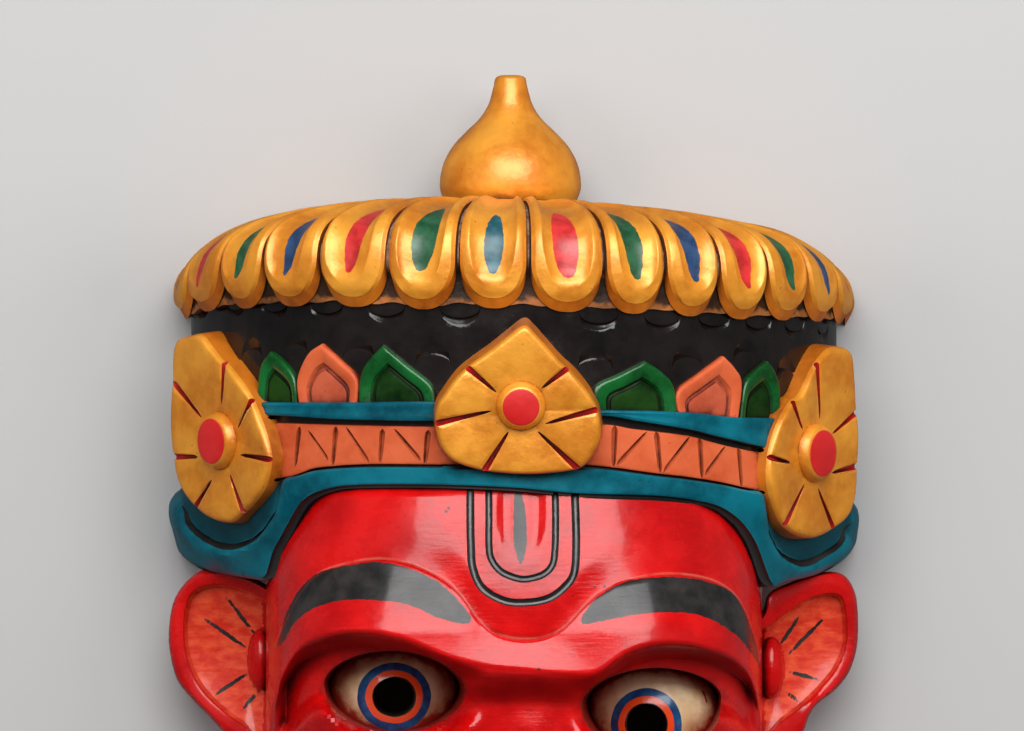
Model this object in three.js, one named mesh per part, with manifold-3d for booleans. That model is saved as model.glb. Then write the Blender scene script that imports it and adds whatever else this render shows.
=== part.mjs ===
// A carved and painted wooden mask of the monkey god, lying face up on its flat back rim.
// Millimetres. X runs to the right of the face as it is looked at, Y towards the crown,
// Z out of the face. The back rim lies in the plane Z = 0. The whole mask is one block of wood.

import * as THREE from 'three';
import { mergeVertices } from 'three/addons/utils/BufferGeometryUtils.js';
import Module from 'manifold-3d';

const wasm = await Module();
wasm.setup();

// Head block: half width and depth at eye level, and its top and chin
const headHalfWidth = 84;
const headDepth = 104;
const foreheadRise = 4;
const headTopY = 48;
const jawStartY = -62;
const chinY = -174.2;
const headRoundness = 2.3;
const foreheadRoundness = 2.9;
const jawWidthRoundness = 2.0;
const jawDepthRoundness = 2.35;

// Crown: the black drum, the domed canopy above it and the bands below it
const drumRadius = 109.3;
const drumBottomY = 46;
const drumTopY = 104;
const canopyRadius = 110.5;
const canopyRimY = 91.5;
const canopyRimRise = 5.5;
const canopyTopY = 130.2;
const canopyTopArch = 0.0013;
const canopyTopSlope = 0.014;
const canopySquareness = 6;
const petalThickness = 3.8;
const petalSplit = 2.5;
const leftPetalPitch = 12.44;
const rightPetalPitch = 11.8;
const petalsPerSide = 8;

// Collar: it swells out at the temples, just above its lower edge
const collarRadius = 112.5;
const collarSwell = 5;

// Finial on top of the canopy, a full round bulb with a drawn-out tip
const finialZ = 24;
const finialTopY = 174.2;
const finialBaseY = 128;

// Centre line of the face, which leans a little to the right
const faceX = 4;

// Eyes: the places of the pupils differ a little from side to side
const pupilRadius = 7;
const eyeballRadius = 22;
const eyes = [
  { x: -40, y: -33.5, z: 67.5, socketX: -48, socketY: -38, socketHalfWidth: 36, socketHalfHeight: 26 },
  { x: 44, y: -42.5, z: 66.5, socketX: 55, socketY: -42, socketHalfWidth: 32, socketHalfHeight: 26 },
];
const socketDepth = 15;

// Hollow behind the face, open at the back rim
const hollowHalfWidth = 69;
const hollowDepth = 84;
const hollowTopY = 84;
const hollowBottomY = -150;
const hollowRoundness = 3.2;
const hollowEyeShallow = 15;
const hollowEyeY = -36;
const hollowTopCut = 0.985;

// Ears: plates that face forward and a little outward
const earThickness = 13;
const earTilt = 24;

const radians = THREE.MathUtils.degToRad;

// Solids

// A closed solid through a row of closed sections, each a list of points in the same number.
function loft(sections) {
  const count = sections[0].length;
  const positions = sections.flat().flatMap((point) => [point.x, point.y, point.z]);
  const index = [];
  for (let row = 0; row < sections.length - 1; row += 1) {
    for (let i = 0; i < count; i += 1) {
      const next = (i + 1) % count;
      const a = row * count + i;
      const b = row * count + next;
      index.push(a, b, b + count, a, b + count, a + count);
    }
  }
  const last = (sections.length - 1) * count;
  for (let i = 1; i < count - 1; i += 1) {
    index.push(0, i + 1, i);
    index.push(last, last + i, last + i + 1);
  }
  const geometry = new THREE.BufferGeometry();
  geometry.setAttribute('position', new THREE.Float32BufferAttribute(positions, 3));
  geometry.setIndex(index);
  return solidOf(geometry);
}

// Any closed geometry as a solid with merged corners and outward faces.
function solidOf(geometry) {
  const plain = geometry.clone();
  plain.deleteAttribute('normal');
  plain.deleteAttribute('uv');
  const merged = mergeVertices(plain, 1e-4);
  const vertProperties = new Float32Array(merged.attributes.position.array);
  const corners = [];
  const source = merged.index.array;
  for (let i = 0; i < source.length; i += 3) {
    const [a, b, c] = [source[i], source[i + 1], source[i + 2]];
    if (a !== b && b !== c && c !== a) {
      corners.push(a, b, c);
    }
  }
  if (signedVolume(vertProperties, corners) < 0) {
    corners.reverse();
  }
  const triVerts = new Uint32Array(corners);
  return new wasm.Manifold(new wasm.Mesh({ numProp: 3, vertProperties, triVerts }));
}

function signedVolume(vertices, corners) {
  const at = (i) => new THREE.Vector3().fromArray(vertices, 3 * i);
  let volume = 0;
  for (let i = 0; i < corners.length; i += 3) {
    volume += at(corners[i]).dot(at(corners[i + 1]).cross(at(corners[i + 2]))) / 6;
  }
  return volume;
}

// A half-round solid about the Y axis: profile(angle) lists the points [radius, y] of its section.
function halfTurn(profile, steps, start = -90, end = 90) {
  const sections = [];
  for (let i = 0; i <= steps; i += 1) {
    const angle = start + ((end - start) * i) / steps;
    const turn = radians(angle);
    sections.push(profile(angle).map(([radius, y]) => (
      new THREE.Vector3(radius * Math.sin(turn), y, radius * Math.cos(turn)))));
  }
  return loft(sections);
}

// An extruded outline with a bevelled front edge, standing on a tilted and turned plane.
function plate(outline, thickness, bevel, place, turn, tilt = 0) {
  const geometry = new THREE.ExtrudeGeometry(new THREE.Shape(outline), {
    depth: thickness, bevelEnabled: bevel > 0, bevelSize: bevel, bevelThickness: bevel,
    bevelOffset: -bevel, bevelSegments: 1, curveSegments: 1,
  });
  geometry.rotateX(radians(tilt));
  geometry.rotateY(radians(turn));
  geometry.translate(place.x, place.y, place.z);
  return solidOf(geometry);
}

// A soft step from 0 below the low value to 1 above the high value.
const smooth = (low, high, value) => THREE.MathUtils.smoothstep(value, low, high);

function mound(x, y, centreX, centreY, radiusX, radiusY) {
  return Math.exp(-(((x - centreX) / radiusX) ** 2) - ((y - centreY) / radiusY) ** 2);
}

// Face

// Height of the carving above the plain head, seen from the front.
function relief(x, y) {
  let height = 0;
  for (const eye of eyes) {
    const fromCentre = Math.hypot(
      (x - eye.socketX) / eye.socketHalfWidth, (y - eye.socketY) / eye.socketHalfHeight);
    height -= socketDepth * (1 - smooth(0.45, 1, fromCentre));
    height += 4 * mound(fromCentre, 0, 1.2, 0, 0.3, 1) * smooth(-40, -20, y);
  }
  return height + lowerRelief(x, y) * (1 - smooth(-44, -30, y));
}

// The nose, cheeks, mouth and chin.
function lowerRelief(x, y) {
  const nose = x - faceX - 1.5;
  const noseWidth = 9 + 6.5 * (1 - smooth(-86, -44, y));
  let height = (3 + 14 * (1 - smooth(-86, -46, y))) * mound(nose, 0, 0, 0, noseWidth, 1)
    * smooth(-99.5, -92, y);
  height += 5 * mound(nose, y, 0, -86, 12, 8);
  height += 10 * mound(Math.abs(nose), y, 16, -88.5, 7.5, 6.5);
  height += 8 * mound(Math.abs(nose), y, 52, -72, 21, 17);
  const across = Math.abs(x - faceX);
  const aboveMouth = y + 118.5 - 0.0055 * across * across;
  height += 15 * mound(across, y, 0, -118, 47, 29);
  height += 4 * mound(aboveMouth, 0, 6, 0, 4.5, 1) * (1 - smooth(34, 50, across));
  height += 4 * mound(aboveMouth, 0, -6.5, 0, 4.5, 1) * (1 - smooth(26, 44, across));
  height -= 3 * mound(aboveMouth, 0, 0, 0, 2.5, 1) * (1 - smooth(42, 52, across));
  height += 8 * mound(across, y, 0, -152, 22, 10);
  return height;
}

function headSize(y) {
  const down = Math.max(0, (jawStartY - y) / (jawStartY - chinY));
  const narrowing = Math.max(0, 1 - down ** jawWidthRoundness) ** (1 / jawWidthRoundness);
  const flattening = Math.max(0, 1 - down ** jawDepthRoundness) ** (1 / jawDepthRoundness);
  const upward = smooth(-60, 20, y);
  return {
    halfWidth: headHalfWidth * narrowing,
    depth: (headDepth + foreheadRise * upward) * flattening,
    roundness: headRoundness + (foreheadRoundness - headRoundness) * upward,
  };
}

function headSection(y, steps) {
  const { halfWidth, depth, roundness } = headSize(y);
  const points = [];
  for (let i = 0; i <= steps; i += 1) {
    const turn = (Math.PI * i) / steps;
    const x = halfWidth * Math.sign(Math.cos(turn)) * Math.abs(Math.cos(turn)) ** (2 / roundness);
    const plain = depth * Math.abs(Math.sin(turn)) ** (2 / roundness);
    const z = plain + relief(x, y) * smooth(12, 60, plain);
    points.push(new THREE.Vector3(x, y, i === 0 || i === steps ? 0 : z));
  }
  return points;
}

function head() {
  const across = 30;
  const rowsAboveJaw = 16;
  const rowsOfJaw = 16;
  const sections = [];
  for (let row = 0; row <= rowsAboveJaw; row += 1) {
    sections.push(headSection(headTopY + ((jawStartY - headTopY) * row) / rowsAboveJaw, across));
  }
  for (let row = 1; row <= rowsOfJaw; row += 1) {
    const turn = (Math.PI / 2) * (row / rowsOfJaw);
    sections.push(headSection(jawStartY + (chinY - jawStartY) * Math.sin(turn), across));
  }
  return loft(sections);
}

function eyeball(eye) {
  const ball = new THREE.SphereGeometry(eyeballRadius, 16, 9);
  ball.translate(eye.x, eye.y, eye.z);
  return solidOf(ball);
}

// Sight hole through the pupil into the hollow.
function pupilHole(eye) {
  const hole = new THREE.CylinderGeometry(pupilRadius, pupilRadius, 80, 16);
  hole.rotateX(Math.PI / 2);
  hole.translate(eye.x, eye.y, eye.z);
  return solidOf(hole);
}

// Crown

function drum() {
  return halfTurn(() => [[0, drumBottomY], [drumRadius, drumBottomY], [drumRadius, drumTopY],
    [0, drumTopY]], 32);
}

// A point of the canopy's dome, lifted off it: steepness runs from 0 at the axis to 90 at the rim.
function canopyPoint(angle, steepness, lift) {
  const power = canopySquareness;
  const out = Math.sin(radians(steepness));
  const up = Math.cos(radians(steepness));
  const size = (out ** power + up ** power) ** (1 / power);
  const sideways = Math.sin(radians(angle));
  const x = canopyRadius * (out / size) * sideways;
  const rim = canopyRimY + canopyRimRise * mound(angle, 0, 0, 0, 45, 1);
  const top = canopyTopY - canopyTopArch * x * x - canopyTopSlope * x;
  const normal = new THREE.Vector2((out / size) ** (power - 1) / canopyRadius,
    (up / size) ** (power - 1) / (top - rim)).normalize();
  const radius = canopyRadius * (out / size) + lift * normal.x;
  const y = rim + (top - rim) * (up / size) + lift * normal.y;
  return new THREE.Vector3(radius * sideways, y, radius * Math.cos(radians(angle)));
}

function canopyCore() {
  const steepnesses = [86, 76, 62, 50, 42, 32, 16, 1];
  const steps = 32;
  const sections = [];
  for (let i = 0; i <= steps; i += 1) {
    const angle = -90 + (180 * i) / steps;
    const dome = steepnesses.map((steepness) => canopyPoint(angle, steepness, 0));
    sections.push([new THREE.Vector3(0, 98, 0), ...dome, new THREE.Vector3(0, canopyTopY, 0)]);
  }
  return loft(sections);
}

// One petal lying on the dome: a tongue with a raised rim, a scooped middle and a round tip.
function petal(centre, pitch) {
  const sections = [];
  const rows = [[9, 1], [26, 1], [40, 1], [49, 1], [60, 1], [70, 1], [78, 0.93], [84, 0.72],
    [88, 0.32]];
  for (const [steepness, width] of rows) {
    const scoop = 0.45 * smooth(15, 40, steepness) * (1 - smooth(66, 80, steepness));
    const tuck = 0.25 * smooth(70, 88, steepness);
    const section = [[-0.97, -0.3], [-0.86, 0.9], [-0.55, 1], [0, 1 - scoop], [0.55, 1], [0.86, 0.9],
      [0.97, -0.3]].map(([side, lift]) => canopyPoint(
      centre + (side * width * pitch) / 2, steepness, petalThickness * (lift - tuck)));
    section.push(canopyPoint(centre, steepness, -6));
    sections.push(section);
  }
  return loft(sections);
}

function petals() {
  const all = [];
  for (let k = 0; k < petalsPerSide; k += 1) {
    all.push(petal(petalSplit - leftPetalPitch * (k + 0.5), leftPetalPitch));
    all.push(petal(petalSplit + rightPetalPitch * (k + 0.5), rightPetalPitch));
  }
  return all;
}

function finial() {
  const profile = [[0, finialBaseY], [23.3, finialBaseY], [23.4, 139], [22.2, 144], [18.8, 149.5],
    [14, 154], [9, 159.3], [6.2, 164.5], [4.9, 171], [4.3, finialTopY], [0, finialTopY]];
  const geometry = new THREE.LatheGeometry(profile.map(([x, y]) => new THREE.Vector2(x, y)), 20);
  geometry.translate(-1, 0, finialZ);
  return solidOf(geometry);
}

// A strip round the drum from one angle to another, between a lower and an upper edge.
function strip(start, end, lower, upper, radius, steps) {
  return halfTurn((angle) => [[radius - 12, lower(angle)], [radius - 1.2, lower(angle)],
    [radius, lower(angle) + 1.5], [radius, upper(angle) - 1.5], [radius - 1.2, upper(angle)],
    [radius - 12, upper(angle)]], steps, start, end);
}

// The bands hang level on the left and slope down to the side flower on the right.
const bandDrop = (angle) => 9.5 * smooth(8, 52, angle) + 1.5 * smooth(8, 52, -angle) - 1.5;

function bands() {
  const upperStrip = strip(-62, 62, (angle) => 58.5 - bandDrop(angle),
    (angle) => 64.8 - 0.6 * bandDrop(angle), 112, 20);
  const middleBand = strip(-62, 62, (angle) => 41.5 - bandDrop(angle),
    (angle) => 59.5 - bandDrop(angle), 110.6, 20);
  const lowerStrip = strip(-62, 62, (angle) => 35.8 - 0.6 * bandDrop(angle),
    (angle) => 43.5 - 0.8 * bandDrop(angle), 112.4, 20);
  return [upperStrip, middleBand, lowerStrip];
}

// Collar at each side, from the bands round to the back rim, open round the face.
function collar(side) {
  const bottom = (angle) => 5.5 + 16 * smooth(72, 90, angle) + 28 * (1 - smooth(38, 46, angle));
  const profile = (angle) => {
    const low = bottom(Math.abs(angle));
    const swell = collarSwell * smooth(58, 80, Math.abs(angle));
    return [[70, low], [105, low], [collarRadius + 0.4 * swell, low + 8],
      [collarRadius + swell, Math.max(low + 9, 20)], [collarRadius + swell, Math.max(low + 10, 31)],
      [collarRadius, Math.max(low + 11, 38)], [collarRadius - 1, 52], [70, 52]];
  };
  return side < 0 ? halfTurn(profile, 12, -90, -37) : halfTurn(profile, 12, 37, 90);
}

// A pointed arch that leans on the drum above the upper strip.
function leaf(angle, width, height, baseY) {
  const half = width / 2;
  const outline = [[-half, 0], [half, 0], [0.92 * half, 0.42 * height], [0.5 * half, 0.78 * height],
    [0, height], [-0.5 * half, 0.78 * height], [-0.92 * half, 0.42 * height]];
  const turn = radians(angle);
  const reach = drumRadius - 9;
  const place = new THREE.Vector3(reach * Math.sin(turn), baseY, reach * Math.cos(turn));
  return plate(outline.map(([x, y]) => new THREE.Vector2(x, y)), 10, 1.4, place, angle);
}

function leaves() {
  return [[-45.3, 20.4, 17.6, 64.2], [-33.9, 23.6, 20.7, 63.8], [-20.6, 27.7, 20.7, 63.8],
    [20.5, 33.8, 18, 60.8], [36.3, 26.9, 20.8, 59.4], [48.1, 21, 20.6, 58.2],
  ].map(([angle, width, height, baseY]) => leaf(angle, width, height, baseY));
}

// A flower: a lobed plate with a round boss, and petals told apart by shallow notches.
function flower({ x, y, z, turn, tilt, halfWidth, halfHeight, lobes, lobeStart, point }) {
  const outline = [];
  const steps = lobes * 3;
  for (let i = 0; i < steps; i += 1) {
    const angle = (2 * Math.PI * i) / steps;
    const notch = Math.abs(Math.sin((lobes * (angle - radians(lobeStart))) / 2)) ** 0.5;
    const upward = Math.max(0, Math.sin(angle)) ** 6;
    const reach = 0.93 + 0.07 * notch + point * upward;
    outline.push(new THREE.Vector2(halfWidth * reach * Math.cos(angle),
      halfHeight * reach * Math.sin(angle)));
  }
  const place = new THREE.Vector3(x, y, z);
  const boss = new THREE.CylinderGeometry(6.4, 8.8, 20, 14);
  boss.rotateX(Math.PI / 2);
  boss.rotateX(radians(tilt));
  boss.rotateY(radians(turn));
  boss.translate(x, y, z);
  const direction = new THREE.Vector3(0, 0, 1).applyEuler(new THREE.Euler(radians(tilt), 0, 0));
  direction.applyAxisAngle(new THREE.Vector3(0, 1, 0), radians(turn));
  const start = place.clone().addScaledVector(direction, -14);
  return plate(outline, 12.5, 1.5, start, turn, tilt).add(
    solidOf(boss).translate(direction.clone().multiplyScalar(-7).toArray()));
}

function flowers() {
  return [
    flower({ x: 1.3, y: 61.5, z: 119.5, turn: 0, tilt: 8, halfWidth: 27.5, halfHeight: 22.5,
      lobes: 6, lobeStart: 30, point: 0.22 }),
    flower({ x: -98.4, y: 56.2, z: 64, turn: -53, tilt: 2, halfWidth: 27.2, halfHeight: 31.3,
      lobes: 7, lobeStart: 64, point: 0 }),
    flower({ x: 100.4, y: 51.7, z: 60.3, turn: 55, tilt: 2, halfWidth: 25.6, halfHeight: 31.8,
      lobes: 7, lobeStart: 64, point: 0 }),
  ];
}

// An ear: an egg-shaped plate with a sunken middle, rooted in the side of the head.
function ear(side) {
  const outline = [];
  const scoop = [];
  const steps = 22;
  for (let i = 0; i < steps; i += 1) {
    const angle = (2 * Math.PI * i) / steps;
    const reach = 1 - 0.2 * Math.sin(angle) * Math.cos(angle) * side;
    outline.push(new THREE.Vector2(25 * reach * Math.cos(angle), 34.5 * reach * Math.sin(angle)));
    scoop.push(new THREE.Vector2(20 * reach * Math.cos(angle), 29 * reach * Math.sin(angle)));
  }
  const place = new THREE.Vector3(side * 86.5, -25, 22);
  const body = plate(outline, earThickness, 2, place, side * earTilt);
  const sunken = plate(scoop, 20, 0, place.clone().add(new THREE.Vector3(0, 0, earThickness - 1)),
    side * earTilt);
  return body.subtract(sunken);
}

// Hollow: a smooth bowl, deepest behind the brow, with a flat ledge across its top to hang by.
function hollow() {
  const sections = [];
  const rows = 14;
  const middle = (hollowTopY + hollowBottomY) / 2;
  const half = (hollowTopY - hollowBottomY) / 2;
  for (let row = 0; row <= rows; row += 1) {
    const along = Math.min(hollowTopCut, -Math.cos((Math.PI * row) / rows));
    const y = middle + half * along;
    const round = Math.max(0, 1 - Math.abs(along) ** hollowRoundness) ** (1 / hollowRoundness);
    const chinward = 1 - smooth(-1, 0, along);
    const halfWidth = (hollowHalfWidth - 22 * chinward) * round;
    const eyes = hollowEyeShallow * mound(y, 0, hollowEyeY, 0, 28, 1);
    const depth = (hollowDepth - 12 * chinward - eyes) * round;
    const section = [new THREE.Vector3(halfWidth, y, -10)];
    const steps = 14;
    for (let i = 0; i <= steps; i += 1) {
      const turn = (Math.PI * i) / steps;
      section.push(new THREE.Vector3(halfWidth * Math.cos(turn), y, depth * Math.sin(turn)));
    }
    section.push(new THREE.Vector3(-halfWidth, y, -10));
    sections.push(section);
  }
  return loft(sections);
}

// Everything behind the rim plane is cut away, so that the back is flat.
function behindRim() {
  const block = new THREE.BoxGeometry(400, 500, 100);
  block.translate(0, 0, -50);
  return solidOf(block);
}

function carvedMask() {
  const carved = [drum(), canopyCore(), ...petals(), finial(), ...bands(), collar(-1), collar(1),
    ...leaves(), ...flowers(), ear(-1), ear(1), ...eyes.map(eyeball)];
  let solid = carved.reduce((sum, part) => sum.add(part), head());
  for (const cut of [hollow(), behindRim(), ...eyes.map(pupilHole)]) {
    solid = solid.subtract(cut);
  }
  return solid;
}

function meshOf(solid, name, colour, roughness) {
  const { vertProperties, triVerts } = solid.getMesh();
  const geometry = new THREE.BufferGeometry();
  geometry.setAttribute('position', new THREE.BufferAttribute(new Float32Array(vertProperties), 3));
  geometry.setIndex(new THREE.BufferAttribute(new Uint32Array(triVerts), 1));
  geometry.computeVertexNormals();
  const material = new THREE.MeshStandardMaterial({ color: colour, roughness, metalness: 0 });
  const mesh = new THREE.Mesh(geometry, material);
  mesh.name = name;
  return mesh;
}

const mask = new THREE.Group();
mask.add(meshOf(carvedMask(), 'carved_mask', 0xb5191a, 0.35));

export default mask;
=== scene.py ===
import math

import bmesh
import bpy
import numpy as np
from mathutils import Matrix, Vector


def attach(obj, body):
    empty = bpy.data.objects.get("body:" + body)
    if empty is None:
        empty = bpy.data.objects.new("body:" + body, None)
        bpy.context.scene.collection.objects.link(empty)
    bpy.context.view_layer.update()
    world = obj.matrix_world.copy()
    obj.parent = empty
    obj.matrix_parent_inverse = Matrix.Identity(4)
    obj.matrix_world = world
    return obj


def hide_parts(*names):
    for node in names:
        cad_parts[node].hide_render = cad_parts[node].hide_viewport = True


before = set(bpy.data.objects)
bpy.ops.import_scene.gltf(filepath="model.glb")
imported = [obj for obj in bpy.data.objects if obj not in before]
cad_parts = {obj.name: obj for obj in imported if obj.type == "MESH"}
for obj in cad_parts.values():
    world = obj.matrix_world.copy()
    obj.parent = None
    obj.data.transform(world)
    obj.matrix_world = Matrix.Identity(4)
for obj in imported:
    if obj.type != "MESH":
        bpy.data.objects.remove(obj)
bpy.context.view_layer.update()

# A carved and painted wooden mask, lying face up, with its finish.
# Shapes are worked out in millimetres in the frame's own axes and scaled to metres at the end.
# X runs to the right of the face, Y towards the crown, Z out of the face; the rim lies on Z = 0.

MM = 0.001

# Sizes of the head
HEAD_HALF_WIDTH = 84.0
HEAD_TOP_Y = 48.0
FOREHEAD_Y = 34.0
JAW_START_Y = -62.0
CHIN_Y = -174.2
HEAD_COLUMNS = 210
JAW_ROWS = 78
# Where the plain head is lower than this, the carving on it fades out towards the rim
RIM_WEIGHT = (12.0, 55.0)

# Middle of the face, which leans: at the forehead mark, between the eyes, at the nose and mouth
MARK_X = 2.4
BRIDGE_X = 4.0
NOSE_X = 5.5
MOUTH_X = 4.0

# Sizes of the crown; CROWN_END is the angle where it ends on either side
DRUM_RADIUS = 109.3
DRUM_FOOT_Y = 46.0
DRUM_TOP_Y = 104.0
CANOPY_RADIUS = 110.0
CROWN_END = 96

# Angles of the gaps between the petals, in degrees from the middle of the crown
PETAL_EDGES = [-99.5, -87, -73.4, -59.5, -47.6, -35.1, -22, -9.6, 2.5,
               15.5, 26.5, 37.2, 48.2, 59.5, 71.8, 84.5, 97]
PETAL_GAP = 1.6
PETAL_TIP = 12.5
PETAL_BEVEL = 3.4

# Petals from the left: the paint, where its stroke begins and ends above the tip, and the
# stroke's half width
PETALS = [
    ("gold_red", 10, 54, 3.0), ("gold_blue", 9, 44, 3.0), ("gold_red", 8, 42, 3.0),
    ("gold_green", 9.5, 44, 3.2), ("gold_blue", 10, 60, 3.5), ("gold_red", 10.5, 60, 3.8),
    ("gold_green", 12, 42, 4.4), ("gold_teal", 11, 34, 3.2), ("gold_red", 10.5, 39, 4.4),
    ("gold_green", 10.5, 50, 3.5), ("gold_blue", 10.5, 66, 3.9), ("gold_red", 10, 72, 4.6),
    ("gold_green", 9.5, 70, 4.2), ("gold_blue", 9, 64, 3.8), ("gold_red", 10, 54, 3.0),
    ("gold_red", 10, 54, 3.0)]

# Where the photograph shows the mask: three pixels to a millimetre
PIXELS_PER_MM = 3.0
PIXEL_AT_X0 = 514.0
PIXEL_AT_Y0 = 597.5

# The camera looks straight at the face from a long way off. Its frame is 1024 pixels wide and
# its middle lies over this point of the mask; sizes are true at the depth FOCUS_Z.
VIEW_CENTRE = (-0.67, 77.3)
VIEW_WIDTH = 341.3
VIEW_DISTANCE = 6000.0
FOCUS_Z = 100.0
SENSOR_WIDTH = 36


# Small mathematics

def smooth(low, high, value):
    """A soft step from 0 at low to 1 at high; low may be above high."""
    t = np.clip((np.asarray(value, float) - low) / (high - low), 0.0, 1.0)
    return t * t * (3.0 - 2.0 * t)


def through(points, steps=12, closed=False):
    """A smooth curve through points: a Catmull-Rom spline as a dense list of points."""
    p = np.asarray(points, float)
    if closed:
        p = np.vstack([p[-1], p, p[0], p[1]])
    else:
        p = np.vstack([2 * p[0] - p[1], p, 2 * p[-1] - p[-2]])
    t = np.linspace(0, 1, steps, endpoint=False)[:, None]
    parts = []
    for a, b, c, d in zip(p[:-3], p[1:-2], p[2:-1], p[3:]):
        parts.append(0.5 * (2 * b + (c - a) * t + (2 * a - 5 * b + 4 * c - d) * t**2
                            + (3 * b - 3 * c + d - a) * t**3))
    curve = np.vstack(parts)
    return curve if closed else np.vstack([curve, p[-2]])


def height_curve(points):
    """A smooth function y(x) through points listed in order of x."""
    curve = through(points)
    order = np.argsort(curve[:, 0])
    return lambda x: np.interp(x, curve[order, 0], curve[order, 1])


def seen(*places, z=100.0):
    """Places read off the photograph, in its pixels, as X and Y on the mask at a depth."""
    spread = (VIEW_DISTANCE - z) / (VIEW_DISTANCE - FOCUS_Z)
    found = []
    for x, y in places:
        across = (x - PIXEL_AT_X0) / PIXELS_PER_MM - VIEW_CENTRE[0]
        up = (PIXEL_AT_Y0 - y) / PIXELS_PER_MM - VIEW_CENTRE[1]
        found.append((VIEW_CENTRE[0] + across * spread, VIEW_CENTRE[1] + up * spread))
    return found


def mound(x, y, centre_x, centre_y, radius_x, radius_y):
    """A soft round rise, 1 at its middle."""
    return np.exp(-((x - centre_x) / radius_x) ** 2 - ((y - centre_y) / radius_y) ** 2)


# Face: curves that the carving follows, as seen from the front

# Upper edge of the raised brow, which dips under the forehead mark
BROW_LINE = height_curve([
    (-86, -30), (-80, -16), (-76, -7), (-70.7, 2.5), (-64.2, 8.5), (-54, 11.8), (-45.5, 13.0),
    (-40, 12.7), (-33.6, 11.1), (-28.5, 9.0), (-23.4, 6.2), (-20, 3.6), (-16.6, -0.2),
    (-14, -4.0), (-11.5, -7.4), (-8.1, -10.4), (-3.8, -12.5), (1.3, -13.5), (6.4, -13.5),
    (11.5, -12.4), (15.7, -10.2), (19.1, -7.2), (22.5, -3.4), (26.8, 0.5), (31, 3.1),
    (36.2, 5.6), (50, 8.0), (63.7, 6.5), (72.3, 2.2), (77.5, -5), (81, -15.2), (86, -32)])

# Lower edge of the brow, above the eye sockets
SOCKET_LINE = height_curve([
    (-86, -52), (-79.5, -34), (-77, -26), (-71.3, -17.5), (-63.7, -13.8), (-54, -11.8),
    (-46.3, -12.2), (-37, -14.2), (-29.3, -17.2), (-20, -21), (-8, -23.5), (4, -24.5),
    (16, -26), (27, -25.6), (36.3, -19.4), (45.7, -16.2), (56, -15.8), (66, -17.8), (74, -21.5),
    (80.3, -30), (86, -52)])

# Upper edge of the cheeks, below the sockets
CHEEK_LINE = height_curve([
    (-86, -50), (-75.5, -41.5), (-64, -32), (-54, -41), (-42, -47), (-26, -45), (-12, -36),
    (6, -34), (20, -38), (34, -50), (48, -56), (60, -48), (68.5, -35.5), (79, -43), (86, -52)])

EYES = [
    {"centre": (-40.2, -29.8), "half": 21.9, "rise": 11.2, "fall": 14.6, "lean": -2.5,
     "ball": (-40.5, -32.4, 66.5), "pupil": (-40.0, -33.3), "pupil_half": (7.25, 6.7)},
    {"centre": (46.4, -34.4), "half": 22.0, "rise": 10.2, "fall": 18.0, "lean": 2.5,
     "ball": (47.0, -39.5, 66.0), "pupil": (44.2, -42.5), "pupil_half": (7.0, 7.1)},
]
LID_RADIUS = 25.0
BALL_RADIUS = 23.4
SOCKET_DEPTH = 16.0
SADDLE_DEPTH = 9.5
FOREHEAD_SLOPE = 12.5
BROW_STEP = 2.0
BROW_BULGE = 5.4
EYE_ROUNDNESS = 1.85

# Middle of the mouth, and the folds from the nose past its corners
MOUTH_LINE = height_curve([
    (-60, -101), (-44, -107.5), (-25, -114.5), (4, -118.5), (33, -114.5), (52, -107.5),
    (68, -101)])
FOLDS = (((-13, -80), (-29, -88), (-44, -100), (-51, -115), (-47, -131)),
         ((24, -80), (39, -88), (53, -100), (59, -115), (55, -131)))


def head_size(y):
    """Half width, depth and squareness of the plain head at a height."""
    y = np.asarray(y, float)
    down = np.clip((JAW_START_Y - y) / (JAW_START_Y - CHIN_Y), 0, 1)
    width = HEAD_HALF_WIDTH * np.sqrt(1 - down**2)
    depth = 105.0 + 4.0 * smooth(-30, 34, y)
    depth = depth * (1 - down**2.35) ** (1 / 2.35)
    square = 2.3 + 1.2 * smooth(-110, -40, y) - 0.7 * smooth(-15, 36, y)
    return width, depth, square


def head_base(x, y):
    """Height of the plain head, before it is carved."""
    width, depth, square = head_size(y)
    across = np.clip(np.abs(x) / np.maximum(width, 1e-6), 0, 1)
    return depth * (1 - across**square) ** (1 / square)


def relief(x, y):
    """Height of the carving above the plain head."""
    brow = BROW_LINE(x)
    socket = SOCKET_LINE(x)
    below_brow = y <= brow
    middle = 1 - smooth(6, 30, np.abs(x - BRIDGE_X))
    height = (-0.6 - 1.7 * middle) * smooth(14, 0, y - brow) * (y > brow)
    height += FOREHEAD_SLOPE * np.clip((36 - y) / 46, 0, 1) * smooth(-62, -24, y)

    along = np.clip((brow - y) / (brow - socket), 0, 1.0)
    height += BROW_STEP * smooth(-0.2, 1.1, brow - y)
    height += (BROW_BULGE - 1.4 * middle) * along ** 1.1 * below_brow
    height -= 0.9 * smooth(1.6, 0.0, y - socket) * below_brow

    outer = smooth(-80.8, -75.5, x) * smooth(83.8, 78.0, x)
    inner = smooth(12, 27, np.abs(x - (BRIDGE_X + 0.5)))
    lower = 1 - smooth(-1.0, 7.0, CHEEK_LINE(x) - y)
    height -= SOCKET_DEPTH * smooth(-0.8, 5.2, socket - y) * outer * inner * lower

    saddle = smooth(0, 12, -24 - y) * (1 - smooth(34, 62, -y))
    height -= SADDLE_DEPTH * saddle * (1 - smooth(9, 27, np.abs(x - (BRIDGE_X + 1))))
    height += lower_relief(x, y) * smooth(-30, -44, y)

    mark = np.hypot((x - MARK_X) / 8.2, np.maximum(0, 27 - y) / 16)
    height -= (0.5 + 0.8 * smooth(1, 5, np.abs(x - MARK_X))) * smooth(1.0, 0.72, mark)
    return height


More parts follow.
